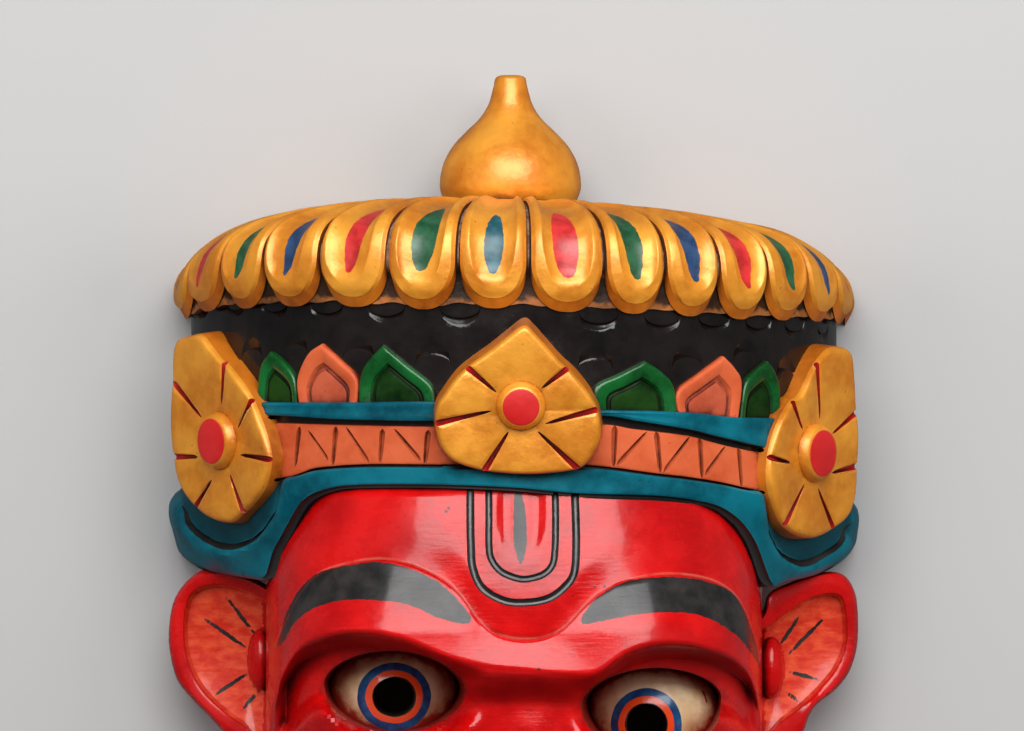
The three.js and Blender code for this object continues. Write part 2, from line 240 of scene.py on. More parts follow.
def lower_relief(x, y):
    """The nose, cheeks, mouth and chin."""
    nose = x - NOSE_X
    side = np.abs(nose)
    width = 9.0 + 6.5 * smooth(-44, -86, y)
    height = 3 + 11 * smooth(-46, -86, y)
    height = height * np.exp(-((side / width) ** 2)) * smooth(-99.5, -92, y)
    height += 4 * mound(nose, y, 0, -86, 12, 8)
    height += 10 * mound(side, y, 16, -88.5, 7.5, 6.5)
    height -= 5 * mound(side, y, 8.5, -97.5, 4.5, 3)
    height += 8 * mound(side, y, 52, -72, 21, 17)

    across = np.abs(x - MOUTH_X)
    above = y - MOUTH_LINE(x)
    height += 15 * mound(across, y, 0, -118, 47, 29)
    height += 3.6 * np.exp(-(((above - 6) / 4.2) ** 2)) * smooth(50, 34, across)
    height += 4.0 * np.exp(-(((above + 6.5) / 4.4) ** 2)) * smooth(44, 26, across)
    height -= 2.2 * np.exp(-((above / 2.2) ** 2)) * smooth(52, 42, across)
    height -= 1.6 * mound(x - (MOUTH_X + 0.5), y, 0, -106, 3.2, 6)
    height -= 3.0 * np.exp(-(((y + 137.5) / 4.5) ** 2)) * smooth(36, 16, across)
    height += 8.0 * mound(across, y, 0, -152, 22, 10)
    for fold in FOLDS:
        height -= 2.8 * np.exp(-((path_distance(x, y, through(fold, 5)) / 2.8) ** 2))
    return height


def segment_distance(x, y, a, b):
    """Distance to a segment, and how far along it the nearest place is."""
    dx, dy = b[0] - a[0], b[1] - a[1]
    share = np.clip(((x - a[0]) * dx + (y - a[1]) * dy) / (dx * dx + dy * dy), 0, 1)
    return np.hypot(x - a[0] - share * dx, y - a[1] - share * dy), share


def path_distance(x, y, path):
    """Distance to a line of points."""
    nearest = np.full(np.shape(x), 99.0)
    for a, b in zip(path[:-1], path[1:]):
        nearest = np.minimum(nearest, segment_distance(x, y, a, b)[0])
    return nearest


def face_z(x, y):
    """Height of the carved face, with the lids swelling out of the sockets."""
    x = np.asarray(x, float)
    y = np.asarray(y, float)
    base = head_base(x, y)
    z = base + relief(x, y) * smooth(*RIM_WEIGHT, base)
    for eye in EYES:
        ball_x, ball_y, ball_z = eye["ball"]
        flat = LID_RADIUS**2 - (x - ball_x) ** 2 - (y - ball_y) ** 2
        lid = np.where(flat > 0, ball_z + np.sqrt(np.maximum(flat, 0)), 0)
        blend = 3.0
        gap = np.clip(0.5 + 0.5 * (lid - z) / blend, 0, 1)
        z = z * (1 - gap) + lid * gap + blend * gap * (1 - gap)
    band_foot_y = 37.5
    under_band = np.sqrt(np.maximum((DRUM_RADIUS - 1.8) ** 2 - x**2, 0))
    return np.where(y > band_foot_y, np.minimum(z, under_band), z)


# Small dark chips in the paint of the face, in pixels
CHIPS = [(594.5, 587), (604, 586), (449, 508), (446, 511), (291, 681), (333, 579), (539, 668)]


# Materials

class Paint:
    """A material in the making: short names for its nodes and links."""

    def __init__(self, name):
        self.material = bpy.data.materials.new(name)
        self.material.use_nodes = True
        self.tree = self.material.node_tree
        self.shader = self.tree.nodes["Principled BSDF"]
        self.place = self.node("TexCoord").outputs["Object"]

    def node(self, kind, inputs=None, **settings):
        node = self.tree.nodes.new("ShaderNode" + kind)
        for key, value in settings.items():
            setattr(node, key, value)
        for key, value in (inputs or {}).items():
            self.put(node.inputs[key], value)
        return node

    def put(self, socket, value):
        """Links a value into a socket, or sets it there if it is a number or colour."""
        if isinstance(value, bpy.types.NodeSocket):
            self.tree.links.new(value, socket)
        elif socket.type == "RGBA":
            socket.default_value = (*value[:3], 1)
        else:
            socket.default_value = value

    def shade(self, **inputs):
        """Sets or links inputs of the shader, by their names with underscores."""
        for key, value in inputs.items():
            name = key.replace("_", " ").title().replace("Ior", "IOR")
            self.put(self.shader.inputs[name], value)

    def linked(self, name):
        """What an input of the shader is linked to so far."""
        return self.shader.inputs[name].links[0].from_socket

    def noise(self, size, detail=4.0, rough=0.55, stretch=(1, 1, 1), twist=0.0):
        """Noise about 0.5, with features of the given size in millimetres."""
        place = self.node("Mapping", {"Vector": self.place, "Scale": stretch}).outputs[0]
        return self.node("TexNoise", {"Vector": place, "Scale": 1000 / size, "Detail": detail,
                                      "Roughness": rough, "Distortion": twist}).outputs["Fac"]

    def span(self, value, low, high, first=0.0, last=1.0):
        return self.node("MapRange", {"Value": value, "From Min": low, "From Max": high,
                                      "To Min": first, "To Max": last},
                         interpolation_type="SMOOTHSTEP").outputs[0]

    def sum(self, a, b, operation="ADD"):
        return self.node("Math", {0: a, 1: b}, operation=operation).outputs[0]

    def times(self, a, b):
        return self.sum(a, b, "MULTIPLY")

    def rest(self, value):
        """What is left of 1 beside a value."""
        return self.sum(1.0, value, "SUBTRACT")

    def patches(self, size, low=0.3, high=0.7, detail=4.0, rough=0.55, stretch=(1, 1, 1)):
        """1 in patches of noise of a size in millimetres, and 0 between them."""
        return self.span(self.noise(size, detail, rough, stretch), low, high)

    def uneven(self, value, size, reach, detail=4.0, rough=0.55):
        """A value moved up and down, as far as reach, by noise of a size in millimetres."""
        shift = self.span(self.noise(size, detail, rough), 0.3, 0.7, -reach, reach)
        return self.sum(value, shift)

    def mix(self, factor, a, b, blend="MIX"):
        mix = self.node("Mix", data_type="RGBA", blend_type=blend)
        self.put(mix.inputs["Factor"], factor)
        self.put(mix.inputs["A"], a)
        self.put(mix.inputs["B"], b)
        return mix.outputs["Result"]

    def stored(self, name):
        return self.node("Attribute", attribute_name=name).outputs["Fac"]

    def spots(self, places, radius):
        """1 within ragged spots about places on the mask as seen from the front."""
        flat = self.node("VectorMath", {0: self.place, 1: (1, 1, 0)},
                         operation="MULTIPLY").outputs[0]
        ragged = self.span(self.noise(0.7, 3), 0.3, 0.7, -0.35, 0.35)
        total = 0.0
        for x, y in places:
            away = self.node("VectorMath", {0: flat, 1: (x * MM, y * MM, 0)},
                             operation="DISTANCE").outputs["Value"]
            near = self.sum(self.sum(away, radius * MM, "DIVIDE"), ragged)
            total = self.sum(total, self.span(near, 1.1, 0.9), "MAXIMUM")
        return total

    def hollows(self, reach, inside=False):
        """1 in the open and less in crevices, or with inside less along edges."""
        return self.node("AmbientOcclusion", {"Distance": reach * MM}, samples=6,
                         inside=inside).outputs["AO"]

    def relief(self, *layers):
        """Bumps from pairs of height and depth in millimetres."""
        normal = None
        for height, depth in layers:
            bump = self.node("Bump", {"Height": height, "Distance": depth * MM, "Strength": 1})
            if normal is not None:
                self.put(bump.inputs["Normal"], normal)
            normal = bump.outputs[0]
        self.put(self.shader.inputs["Normal"], normal)


def lacquer(name, low, high, roughness=0.27, stain_and_shade_colour=(0.05, 0.01, 0.008), stain_and_shade_from=0.62,
            edge=None, brush=(1, 1, 1), coat=0.35, grain=0.09, gleam=0.5, polish=0.16):
    """Brushed paint on carved wood: stain and painted shade in crevices, wear and painted highlight on
    edges.
    """
    paint = Paint(name)
    streak = paint.noise(3.2, 4, 0.6, brush)
    colour = paint.mix(paint.patches(22, 0.32, 0.68, 5, 0.6), low, high)
    colour = paint.mix(paint.span(streak, 0.35, 0.75, 0, 0.35), colour, high)
    # Darker towards the crevices: a dark stain there and painted shade; the stain also roughens the paint
    # and thins its coat.
    crevice = paint.uneven(paint.hollows(5), 7, 0.12, 5, 0.65)
    stain_and_shade = paint.span(crevice, stain_and_shade_from, stain_and_shade_from - 0.34)
    colour = paint.mix(stain_and_shade, colour, stain_and_shade_colour)
    # Lighter in patches along the edges: rubbed paint and a painted highlight.
    if edge is not None:
        rim = paint.span(paint.hollows(1.6, inside=True), 0.62, 0.34)
        rim = paint.times(rim, paint.patches(9, 0.42, 0.62))
        colour = paint.mix(paint.times(rim, 0.8), colour, edge)
    specks = paint.patches(1.7, 0.725, 0.76, 2, 0.5)
    colour = paint.mix(paint.times(specks, 0.55), colour, stain_and_shade_colour)
    dullness = paint.span(paint.noise(11, 4, 0.6), 0.3, 0.7, roughness - 0.05, roughness + 0.08)
    dullness = paint.sum(dullness, paint.times(stain_and_shade, 0.2))
    paint.shade(base_color=colour, roughness=dullness, specular_ior_level=gleam,
                coat_weight=paint.times(paint.rest(stain_and_shade), coat), coat_roughness=polish)
    paint.relief((paint.noise(9, 3, 0.5), 0.35), (streak, grain), (paint.noise(0.9, 3), 0.03))
    return paint


def red_lacquer():
    """Red face with black marks, orange ears and lips, liner and painted shade about the eyes, painted
    highlight on the brows.
    """
    paint = lacquer("red_lacquer", (0.38, 0.001, 0.002), (0.62, 0.003, 0.003), 0.24,
                    (0.09, 0.001, 0.001), brush=(0.4, 3, 1), coat=0.45, grain=0.12, gleam=0.25,
                    polish=0.12)
    colour = tinted_places(paint, paint.linked("Base Color"))
    ink = paint.span(paint.uneven(paint.stored("ink"), 2.4, 0.18, rough=0.6), -0.06, 0.06)
    black = paint.mix(paint.patches(10, 0.35, 0.7, 5), (0.011, 0.010, 0.010),
                      (0.035, 0.030, 0.028))
    colour = paint.mix(ink, colour, black)
    colour = paint.mix(paint.spots(seen(*CHIPS), 0.5), colour, (0.03, 0.012, 0.010))

    # Painted shade in the sockets just below the brows, where the paint is also rougher and has less
    # coat.
    below = paint.stored("below")
    shaded = paint.times(paint.span(below, -0.3, 1.2), paint.span(below, 13, 8))
    colour = paint.mix(paint.times(shaded, 0.35), colour, (0.16, 0.001, 0.001))
    dullness = paint.sum(paint.linked("Roughness"), paint.times(ink, 0.06))
    dullness = paint.sum(dullness, paint.times(shaded, 0.35))
    coat = paint.times(paint.linked("Coat Weight"), paint.rest(shaded))
    paint.shade(base_color=colour, roughness=dullness, coat_weight=coat)
    return paint.material


def tinted_places(paint, colour):
    """Orange in the ears and on the lips, a liner and painted shade round the eyes, and a painted
    highlight on the brow ridge.
    """
    inner = paint.mix(paint.patches(6, 0.35, 0.7, rough=0.6, stretch=(1, 2, 1)),
                      (0.58, 0.024, 0.010), (0.74, 0.085, 0.030))
    colour = paint.mix(paint.span(paint.stored("orange"), -0.3, 0.5), colour, inner)
    # Red-brown round the eye openings: a painted liner, darkened further as painted shade.
    lid = paint.span(paint.uneven(paint.stored("lid"), 3, 1, 3), 2.6, 0.2)
    colour = paint.mix(paint.times(lid, 0.6), colour, (0.16, 0.008, 0.006))
    # A painted highlight, in patches, along the ridge of the brows.
    ridge = paint.stored("ridge")
    near = paint.times(paint.span(ridge, -0.5, -0.1), paint.span(ridge, 0.7, 0.2))
    near = paint.times(near, paint.patches(8, 0.3, 0.55))
    return paint.mix(paint.times(near, 0.4), colour, (0.60, 0.20, 0.13))


def gold(name, stroke=None):
    """Satin gold paint, with a brown stain and painted shade in its crevices, and a brushed stroke on
    some petals.
    """
    paint = lacquer(name, (0.68, 0.20, 0.008), (0.95, 0.39, 0.033), 0.40, (0.20, 0.036, 0.003),
                    stain_and_shade_from=0.72, edge=(0.98, 0.66, 0.26), coat=0.55, grain=0.2, polish=0.30)
    metallic = 0.36
    paint.shade(metallic=metallic)
    if stroke is not None:
        inside = paint.span(paint.uneven(paint.stored("stroke"), 2.2, 0.16, 3, 0.5), -0.08, 0.1)
        worn = paint.patches(2.6, 0.66, 0.72, 5, 0.7)
        inside = paint.sum(inside, paint.times(worn, 0.6), "SUBTRACT")
        light = tuple(min(1, 1.8 * part + 0.015) for part in stroke)
        tint = paint.mix(paint.patches(5), stroke, light)
        paint.shade(base_color=paint.mix(inside, paint.linked("Base Color"), tint),
                    metallic=paint.times(paint.rest(inside), metallic))
    return paint.material


def stained_wood():
    """The dome between the petals: a brown skirt, painted shadow in the pits between the petal tips, and
    dusty grooves above them.
    """
    paint = lacquer("brown_stain", (0.09, 0.034, 0.010), (0.40, 0.13, 0.030), 0.55,
                    (0.020, 0.007, 0.003), stain_and_shade_from=0.7, coat=0.0, grain=0.6, gleam=0.25)
    above = paint.uneven(paint.stored("stroke"), 4, 1)
    # Painted shadow: near black in the pits between the tips of the petals.
    pit = paint.times(paint.span(above, 0.6, 2.6), paint.span(above, 13.5, 9.5))
    colour = paint.mix(paint.times(pit, 0.92), paint.linked("Base Color"), (0.010, 0.005, 0.003))
    dust = paint.mix(paint.patches(3, 0.35, 0.65, 5, 0.7), (0.10, 0.055, 0.034),
                     (0.34, 0.20, 0.13))
    paint.shade(base_color=paint.mix(paint.span(above, 10, 14), colour, dust))
    return paint.material


def teal_paint():
    """The strip and the collar, with painted shade in the sunk places below the flowers."""
    paint = lacquer("teal_paint", (0.0005, 0.050, 0.075), (0.002, 0.140, 0.19), 0.32,
                    (0.006, 0.008, 0.008), stain_and_shade_from=0.8, edge=(0.015, 0.24, 0.32), coat=0.12,
                    gleam=0.15)
    # Painted shade: darker teal in the sunk places below the flowers.
    sunk = paint.times(paint.span(paint.stored("sunk"), -0.6, 1.6), 0.7)
    paint.shade(base_color=paint.mix(sunk, paint.linked("Base Color"), (0.003, 0.022, 0.030)))
    return paint.material


def eye_paint():
    """Cream eyeball with blue and orange rings about the pupil, and painted shade where the lids meet it.
    """
    paint = Paint("eye_paint")
    colour = paint.mix(paint.patches(9), (0.62, 0.42, 0.22), (0.82, 0.64, 0.42))
    rim = paint.uneven(paint.stored("lid"), 5, 0.8)
    colour = paint.mix(paint.times(paint.span(rim, -5.4, -0.6), 0.75), colour,
                       (0.36, 0.10, 0.035))
    colour = paint.mix(paint.span(rim, -2.3, -0.2), colour, (0.28, 0.014, 0.008))
    colour = paint.mix(paint.span(paint.stored("tear"), -0.1, 0.15), colour,
                       (0.35, 0.008, 0.006))
    ring = paint.uneven(paint.stored("ring"), 5, 0.1, 2)
    blue = paint.mix(paint.patches(4, detail=3), (0.001, 0.030, 0.12), (0.002, 0.085, 0.23))
    orange = (0.76, 0.06, 0.006)
    dark = (0.02, 0.006, 0.004)
    for reach, tint in ((12.3, blue), (9.6, orange), (7.35, dark)):
        colour = paint.mix(paint.span(ring, reach + 0.15, reach), colour, tint)
    # Painted shade where the lids meet the ball.
    colour = paint.mix(paint.span(paint.hollows(2), 0.35, 0.10), colour, (0.09, 0.014, 0.009))
    paint.shade(base_color=colour, roughness=0.24, coat_weight=0.4, coat_roughness=0.1)
    paint.relief((paint.noise(5, 3), 0.12), (paint.noise(1.2, 3), 0.04))
    return paint.material


def bare_wood():
    """The unpainted hollow: chisel-cut wood with its grain along the mask."""
    paint = Paint("bare_wood")
    grain = paint.noise(2.2, 6, 0.6, (1, 0.12, 1), 0.6)
    rings = paint.noise(14, 4, 0.6, (1, 0.2, 1), 1.0)
    colour = paint.mix(paint.span(grain, 0.3, 0.7), (0.16, 0.075, 0.032), (0.34, 0.185, 0.085))
    colour = paint.mix(paint.span(rings, 0.4, 0.65, 0, 0.45), colour, (0.11, 0.05, 0.02))
    stain = paint.span(paint.noise(30, 5), 0.45, 0.7, 0, 0.5)
    colour = paint.mix(stain, colour, (0.07, 0.028, 0.012))
    # Painted shade in the deep places of the hollow.
    colour = paint.mix(paint.span(paint.hollows(9), 0.8, 0.35), colour, (0.05, 0.02, 0.008))
    paint.shade(base_color=colour, roughness=0.72)
    stretched = paint.node("Mapping", {"Vector": paint.place, "Scale": (1, 0.55, 1)}).outputs[0]
    cells = paint.node("TexVoronoi", {"Vector": stretched, "Scale": 1000 / 13},
                       feature="SMOOTH_F1").outputs["Distance"]
    paint.relief((cells, 1.1), (grain, 0.25))
    return paint.material


def floor_paper():
    """The pale paper under the mask."""
    paint = Paint("floor_paper")
    colour = paint.mix(paint.noise(400, 2), (0.45, 0.45, 0.45), (0.49, 0.485, 0.48))
    paint.shade(base_color=colour, roughness=0.9)
    return paint.material


MATERIALS = {
    "red": red_lacquer(),
    "black": lacquer("black_lacquer", (0.004, 0.003, 0.003), (0.012, 0.009, 0.008), 0.15,
                     (0.016, 0.007, 0.003), coat=0.0, grain=0.04, gleam=0.5).material,
    "gold": gold("gold_paint"),
    # Darker gold for the walls and undersides of the petals and flowers: painted shade.
    "gold_wall_shade": lacquer("gold_wall_shade", (0.30, 0.068, 0.004), (0.56, 0.155, 0.009), 0.4,
                         (0.10, 0.018, 0.003), stain_and_shade_from=0.5, coat=0.1, gleam=0.3).material,
    "gold_red": gold("gold_red_stroke", (0.36, 0.006, 0.006)),
    "gold_blue": gold("gold_blue_stroke", (0.006, 0.030, 0.085)),
    "gold_green": gold("gold_green_stroke", (0.003, 0.055, 0.018)),
    "gold_teal": gold("gold_teal_stroke", (0.006, 0.065, 0.085)),
    "stain": stained_wood(),
    "teal": teal_paint(),
    "salmon": lacquer("salmon_paint", (0.48, 0.066, 0.018), (0.64, 0.122, 0.042), 0.45,
                      (0.12, 0.014, 0.006), stain_and_shade_from=0.75, edge=(0.76, 0.22, 0.10), coat=0.08,
                      gleam=0.2).material,
    # Darker copies of the leaf paints for the grooves and inner panels of the leaves: painted shade.
    "shaded_green": lacquer("shaded_green_paint", (0.001, 0.010, 0.002), (0.012, 0.050, 0.006), 0.35,
                          (0.006, 0.006, 0.003), stain_and_shade_from=0.8, gleam=0.12, coat=0.0).material,
    "shaded_salmon": lacquer("shaded_salmon_paint", (0.34, 0.045, 0.018), (0.54, 0.105, 0.045), 0.45,
                           (0.09, 0.010, 0.006), stain_and_shade_from=0.85, coat=0.1, gleam=0.3).material,
    "green": lacquer("green_paint", (0.001, 0.032, 0.004), (0.004, 0.12, 0.020), 0.26,
                     (0.006, 0.010, 0.003), stain_and_shade_from=0.75, edge=(0.03, 0.22, 0.06),
                     gleam=0.4).material,
    "hub": lacquer("red_hub", (0.50, 0.005, 0.006), (0.62, 0.012, 0.012), 0.5,
                   (0.12, 0.006, 0.004), coat=0.05).material,
    "eye": eye_paint(),
    "lid": lacquer("lid_edge", (0.24, 0.010, 0.006), (0.40, 0.016, 0.010), 0.3,
                   (0.08, 0.006, 0.004), stain_and_shade_from=0.45).material,
    "groove_red": lacquer("red_groove", (0.30, 0.004, 0.004), (0.55, 0.010, 0.008), 0.35,
                          (0.03, 0.006, 0.004), stain_and_shade_from=0.55).material,
    "groove_brown": lacquer("brown_groove", (0.30, 0.045, 0.012), (0.52, 0.09, 0.028), 0.5,
                            (0.03, 0.008, 0.004), stain_and_shade_from=0.6, coat=0.0, gleam=0.2).material,
    # Near black for the dark lines where the bands meet: dark paint in the grooves, with painted shade of
    # the steps beside them.
    "groove_dark": lacquer("dark_groove", (0.010, 0.010, 0.010), (0.028, 0.026, 0.024), 0.35,
                           (0.006, 0.005, 0.005)).material,
    "ink": lacquer("black_groove", (0.009, 0.008, 0.008), (0.024, 0.022, 0.021), 0.26,
                   (0.006, 0.005, 0.005)).material,
    "pupil": lacquer("pupil_wall", (0.010, 0.006, 0.004), (0.030, 0.018, 0.010), 0.8,
                     (0.006, 0.004, 0.003), coat=0.0, gleam=0.0).material,
    "wood": bare_wood(),
}


# Solids

def solid(name, points, faces, materials, stroke=None, kinds=None):
    """A closed mesh object from points in millimetres and faces.

    kinds says which of the materials each face has; stroke is a number stored at each point."""
    mesh = bpy.data.meshes.new(name)
    mesh.from_pydata([tuple(p) for p in np.asarray(points, float) * MM], [], faces)
    if stroke is not None:
        store(mesh, "stroke", stroke)
    for material in materials:
        if material is not None:
            mesh.materials.append(MATERIALS[material])
    if kinds is not None:
        mesh.polygons.foreach_set("material_index", np.asarray(kinds, np.int32))
    mesh.update()
    clean(mesh)
    return bpy.data.objects.new(name, mesh)


def store(mesh, name, values):
    """Stores a number at each point of a mesh, for its materials to read."""
    layer = mesh.attributes.new(name, "FLOAT", "POINT")
    layer.data.foreach_set("value", np.asarray(values, np.float32))


def clean(mesh):
    """Merges doubled corners, drops empty faces and turns the faces outward."""
    bm = bmesh.new()
    bm.from_mesh(mesh)
    bmesh.ops.remove_doubles(bm, verts=bm.verts, dist=1e-7)
    bmesh.ops.dissolve_degenerate(bm, edges=bm.edges, dist=1e-8)
    if bm.calc_volume(signed=True) < 0:
        bmesh.ops.reverse_faces(bm, faces=bm.faces)
    bm.to_mesh(mesh)
    bm.free()


def drop_flecks(mesh):
    """Removes loose flecks without thickness: pairs of faces on the same corners."""
    bm = bmesh.new()
    bm.from_mesh(mesh)
    first_on = {}
    flecks = []
    for face in bm.faces:
        other = first_on.setdefault(frozenset(face.verts), face)
        if other is not face:
            flecks += [other, face]
    bmesh.ops.delete(bm, geom=flecks, context="FACES")
    bm.to_mesh(mesh)
    bm.free()


def loft(name, sections, material, stroke=None, edge_from=None, edge_rows=None,
         edge_material=None):
    """A closed solid through rows of closed sections with the same number of points.

    The faces from column edge_from on, or those of the first edge_rows rows, are of the
    second material."""
    rings = np.asarray(sections, float)
    rows, count = rings.shape[:2]
    index = np.arange(rows * count).reshape(rows, count)
    turned = np.roll(index, -1, axis=1)
    faces = np.stack([index[:-1], turned[:-1], turned[1:], index[1:]], axis=-1)
    faces = faces.reshape(-1, 4).tolist()
    faces.append(index[0][::-1].tolist())
    faces.append(index[-1].tolist())
    kinds = np.zeros(len(faces), int)
    if edge_from is not None:
        columns = np.tile(np.arange(count), rows - 1)
        kinds[:len(columns)] = columns >= edge_from
        kinds[len(columns):] = 1
    if edge_rows is not None:
        kinds[:edge_rows * count] = 1
    return solid(name, rings.reshape(-1, 3), faces, [material, edge_material], stroke, kinds)


def half_turn(name, profile, angles, material):
    """A solid about the Y axis; profile(angle) gives its section as rows of radius and y."""
    sections = []
    for angle in angles:
        turn = math.radians(angle)
        section = np.asarray(profile(angle), float)
        sections.append(np.column_stack([
            section[:, 0] * math.sin(turn), section[:, 1], section[:, 0] * math.cos(turn)]))
    return loft(name, sections, material)


def lathe(name, profile, steps, material, centre=(0, 0, 0), along="y"):
    """A full turn of a profile of radius and height about an axis."""
    profile = np.asarray(profile, float)
    turns = np.linspace(0, 2 * np.pi, steps, endpoint=False)
    sections = []
    for radius, height in profile:
        radius = max(radius, 1e-4)
        ring = [radius * np.cos(turns), np.full(steps, height), -radius * np.sin(turns)]
        if along == "z":
            ring = [ring[0], -ring[2], ring[1]]
        sections.append(np.column_stack(ring) + np.asarray(centre))
    return loft(name, sections, material)


# Head

def section_places(y, count):
    """Places across the head at one height, evenly spread along its section."""
    width, depth, square = head_size(y)
    turn = np.linspace(0, np.pi, 1500)
    x = width * np.sign(np.cos(turn)) * np.abs(np.cos(turn)) ** (2 / square)
    z = depth * np.abs(np.sin(turn)) ** (2 / square)
    length = np.concatenate([[0], np.cumsum(np.hypot(np.diff(x), np.diff(z)))])
    return np.interp(np.linspace(0, length[-1], count), length, x)


def face_row(x, y):
    """A row of the head, with both ends on the rim."""
    z = face_z(x, y)
    z[0] = 0
    z[-1] = 0
    return np.column_stack([x, y, np.maximum(z, 0)])


def level(y):
    """A curve at one height."""
    return lambda x: np.full_like(x, y)


def above(curve, rise):
    """A curve moved up."""
    return lambda x: curve(x) + rise


def head():
    """The head block: rows that follow the brows and sockets, then the round of the jaw."""
    keys = [(level(HEAD_TOP_Y), 3), (level(FOREHEAD_Y), 24), (above(BROW_LINE, 1.5), 3),
            (above(BROW_LINE, 0.2), 3), (above(BROW_LINE, -1.2), 15),
            (above(SOCKET_LINE, 2.5), 5), (above(SOCKET_LINE, -1.0), 9),
            (above(SOCKET_LINE, -8.0), 30), (level(JAW_START_Y), 0)]
    bridge = np.array([BRIDGE_X])
    sections = []
    for (upper, rows), (lower, _) in zip(keys[:-1], keys[1:]):
        for row in range(rows):
            share = row / rows
            middle = (1 - share) * upper(bridge)[0] + share * lower(bridge)[0]
            x = section_places(middle, HEAD_COLUMNS)
            sections.append(face_row(x, (1 - share) * upper(x) + share * lower(x)))
    for row in range(JAW_ROWS + 1):
        y = JAW_START_Y + (CHIN_Y - JAW_START_Y) * math.sin(math.pi / 2 * row / JAW_ROWS)
        x = section_places(y, HEAD_COLUMNS)
        sections.append(face_row(x, np.full_like(x, y)))
    return loft("head", sections, "red")


# Crown

# Foot of the dome against the angle
RIM_LINE = height_curve([
    (-100, 92.2), (-80, 93.2), (-66, 95.6), (-53, 96.4), (-41, 97.0), (-28, 96.8), (-16, 96.0),
    (-3.5, 96.3), (9, 95.1), (21, 94.5), (32, 93.7), (43, 92.7), (54, 92.4), (66, 92.0),
    (78, 91.2), (100, 90.4)])

# Top of the dome against X: it stands a little higher on the left
DOME_TOP = height_curve([
    (-116, 111), (-108, 114.5), (-100, 118.5), (-90, 122), (-78, 124.7), (-60, 127.3),
    (-36, 129.4), (0, 130.2), (28.7, 127.9), (55, 125), (72, 122.3), (87, 119.9), (96, 117), (106, 112.6),
    (116, 108)])

# How far the dome's section is from an ellipse, which has 2, against the angle
DOME_SQUARENESS = height_curve([
    (-100, 4.2), (-90, 4.6), (-78, 6.4), (-66, 8.2), (-45, 7.4), (-25, 6.5), (0, 6.0), (25, 6.5),
    (45, 7.4), (66, 8.2), (78, 6.4), (90, 4.6), (100, 4.2)])

# Steps from the rim of the dome to near its axis, closest at the rim, in degrees
STEEPNESS = 90 - 87 * np.linspace(0, 1, 500) ** 3.5


def canopy_base(angle, steepness):
    """A point of the dome; steepness is 0 at the axis and 90 at the rim."""
    angle, steepness = np.broadcast_arrays(np.asarray(angle, float), steepness)
    square = DOME_SQUARENESS(angle)
    turn = np.radians(steepness)
    wide = CANOPY_RADIUS + 1.8 * np.sin(np.radians(angle)) ** 2
    radius = wide * np.abs(np.sin(turn)) ** (2 / square)
    x = radius * np.sin(np.radians(angle))
    rim = RIM_LINE(angle)
    top = DOME_TOP(x)
    y = rim + (top - rim) * np.abs(np.cos(turn)) ** (2 / square)
    return np.stack([x, y, radius * np.cos(np.radians(angle))], axis=-1)


def canopy_point(angle, steepness, lift):
    """A point above the dome, lifted along its normal."""
    step = 0.3
    steep = np.clip(steepness, 2, 90 - step)
    across = canopy_base(np.add(angle, step), steep) - canopy_base(np.add(angle, -step), steep)
    down = canopy_base(angle, np.add(steep, step)) - canopy_base(angle, np.add(steep, -step))
    normal = np.cross(down, across)
    normal /= np.maximum(np.linalg.norm(normal, axis=-1, keepdims=True), 1e-9)
    return canopy_base(angle, steepness) + normal * np.asarray(lift)[..., None]


def arc_table(angle):
    """Distance from the rim along the dome for each of the steps of STEEPNESS."""
    points = canopy_base(angle, STEEPNESS)
    return np.concatenate([[0], np.cumsum(np.linalg.norm(np.diff(points, axis=0), axis=1))])


def drum():
    """The black drum under the canopy, with its gouges."""
    levels = np.linspace(DRUM_FOOT_Y, DRUM_TOP_Y, 9)
    profile = [(0, DRUM_FOOT_Y), *[(DRUM_RADIUS, y) for y in levels], (0, DRUM_TOP_Y)]
    body = half_turn("drum", lambda angle: profile, np.linspace(-CROWN_END, CROWN_END, 129),
                     "black")
    return carve(body, [("DIFFERENCE", gouges())])


def canopy_core():
    """The dome under the petals: grooves between them, and pits over a stained skirt, where the paint
    puts a painted shadow.
    """
    sections = []
    marks = []
    edges = np.array(PETAL_EDGES)
    for angle in np.linspace(-CROWN_END, CROWN_END, 241):
        foot = RIM_LINE(angle) + 1.5 + 0.35 * math.sin(angle * 0.52) + 0.3 * math.sin(angle * 1.1)
        length = arc_table(angle)
        start = np.interp(foot, canopy_base(angle, STEEPNESS)[:, 1], length)
        far = np.concatenate([np.linspace(start, 18, 12), np.linspace(20, length[-1], 12)])
        between = math.exp(-(float(np.min(np.abs(edges - angle))) / 1.9) ** 2)
        ridge = (1.0 + 0.9 * between) * smooth(10.5, 16, far)
        ridge = ridge * smooth(length[-1], length[-1] - 30, far)
        pit = 0.5 * between * smooth(start + 1.0, start + 3.0, far) * smooth(14, 11, far)
        dome = canopy_point(angle, np.interp(far, length, STEEPNESS), ridge - pit)
        dome[0, 1] = foot
        sections.append(np.vstack([[[0, 98.0, 0]], dome, [[0, DOME_TOP(0), 0]]]))
        marks.append(np.concatenate([[0], far - start, [60]]))
    return loft("canopy_core", sections, "stain", stroke=np.concatenate(marks))


# Places across a petal: on its raised edge, down to its scoop, and in the scoop. The edge runs
# from 1 to PETAL_EDGE_FOOT; the others are shares of the way from there.
PETAL_RIM = np.array([1, 0.985, 0.955, 0.915, 0.875])
PETAL_EDGE_FOOT = PETAL_RIM[-1]
PETAL_SLOPE = np.array([0.45, 0.8])
PETAL_SCOOP = np.array([1.0, 0.92, 0.76, 0.52, 0.26])

# Places across the back of a petal, and how far they stand off the dome
PETAL_BACK = np.array([1.0, 0.6, 0.2, -0.2, -0.6, -1.0])
PETAL_BACK_LIFT = np.array([0.4, 0.1, 0.0, 0.0, 0.1, 0.4])


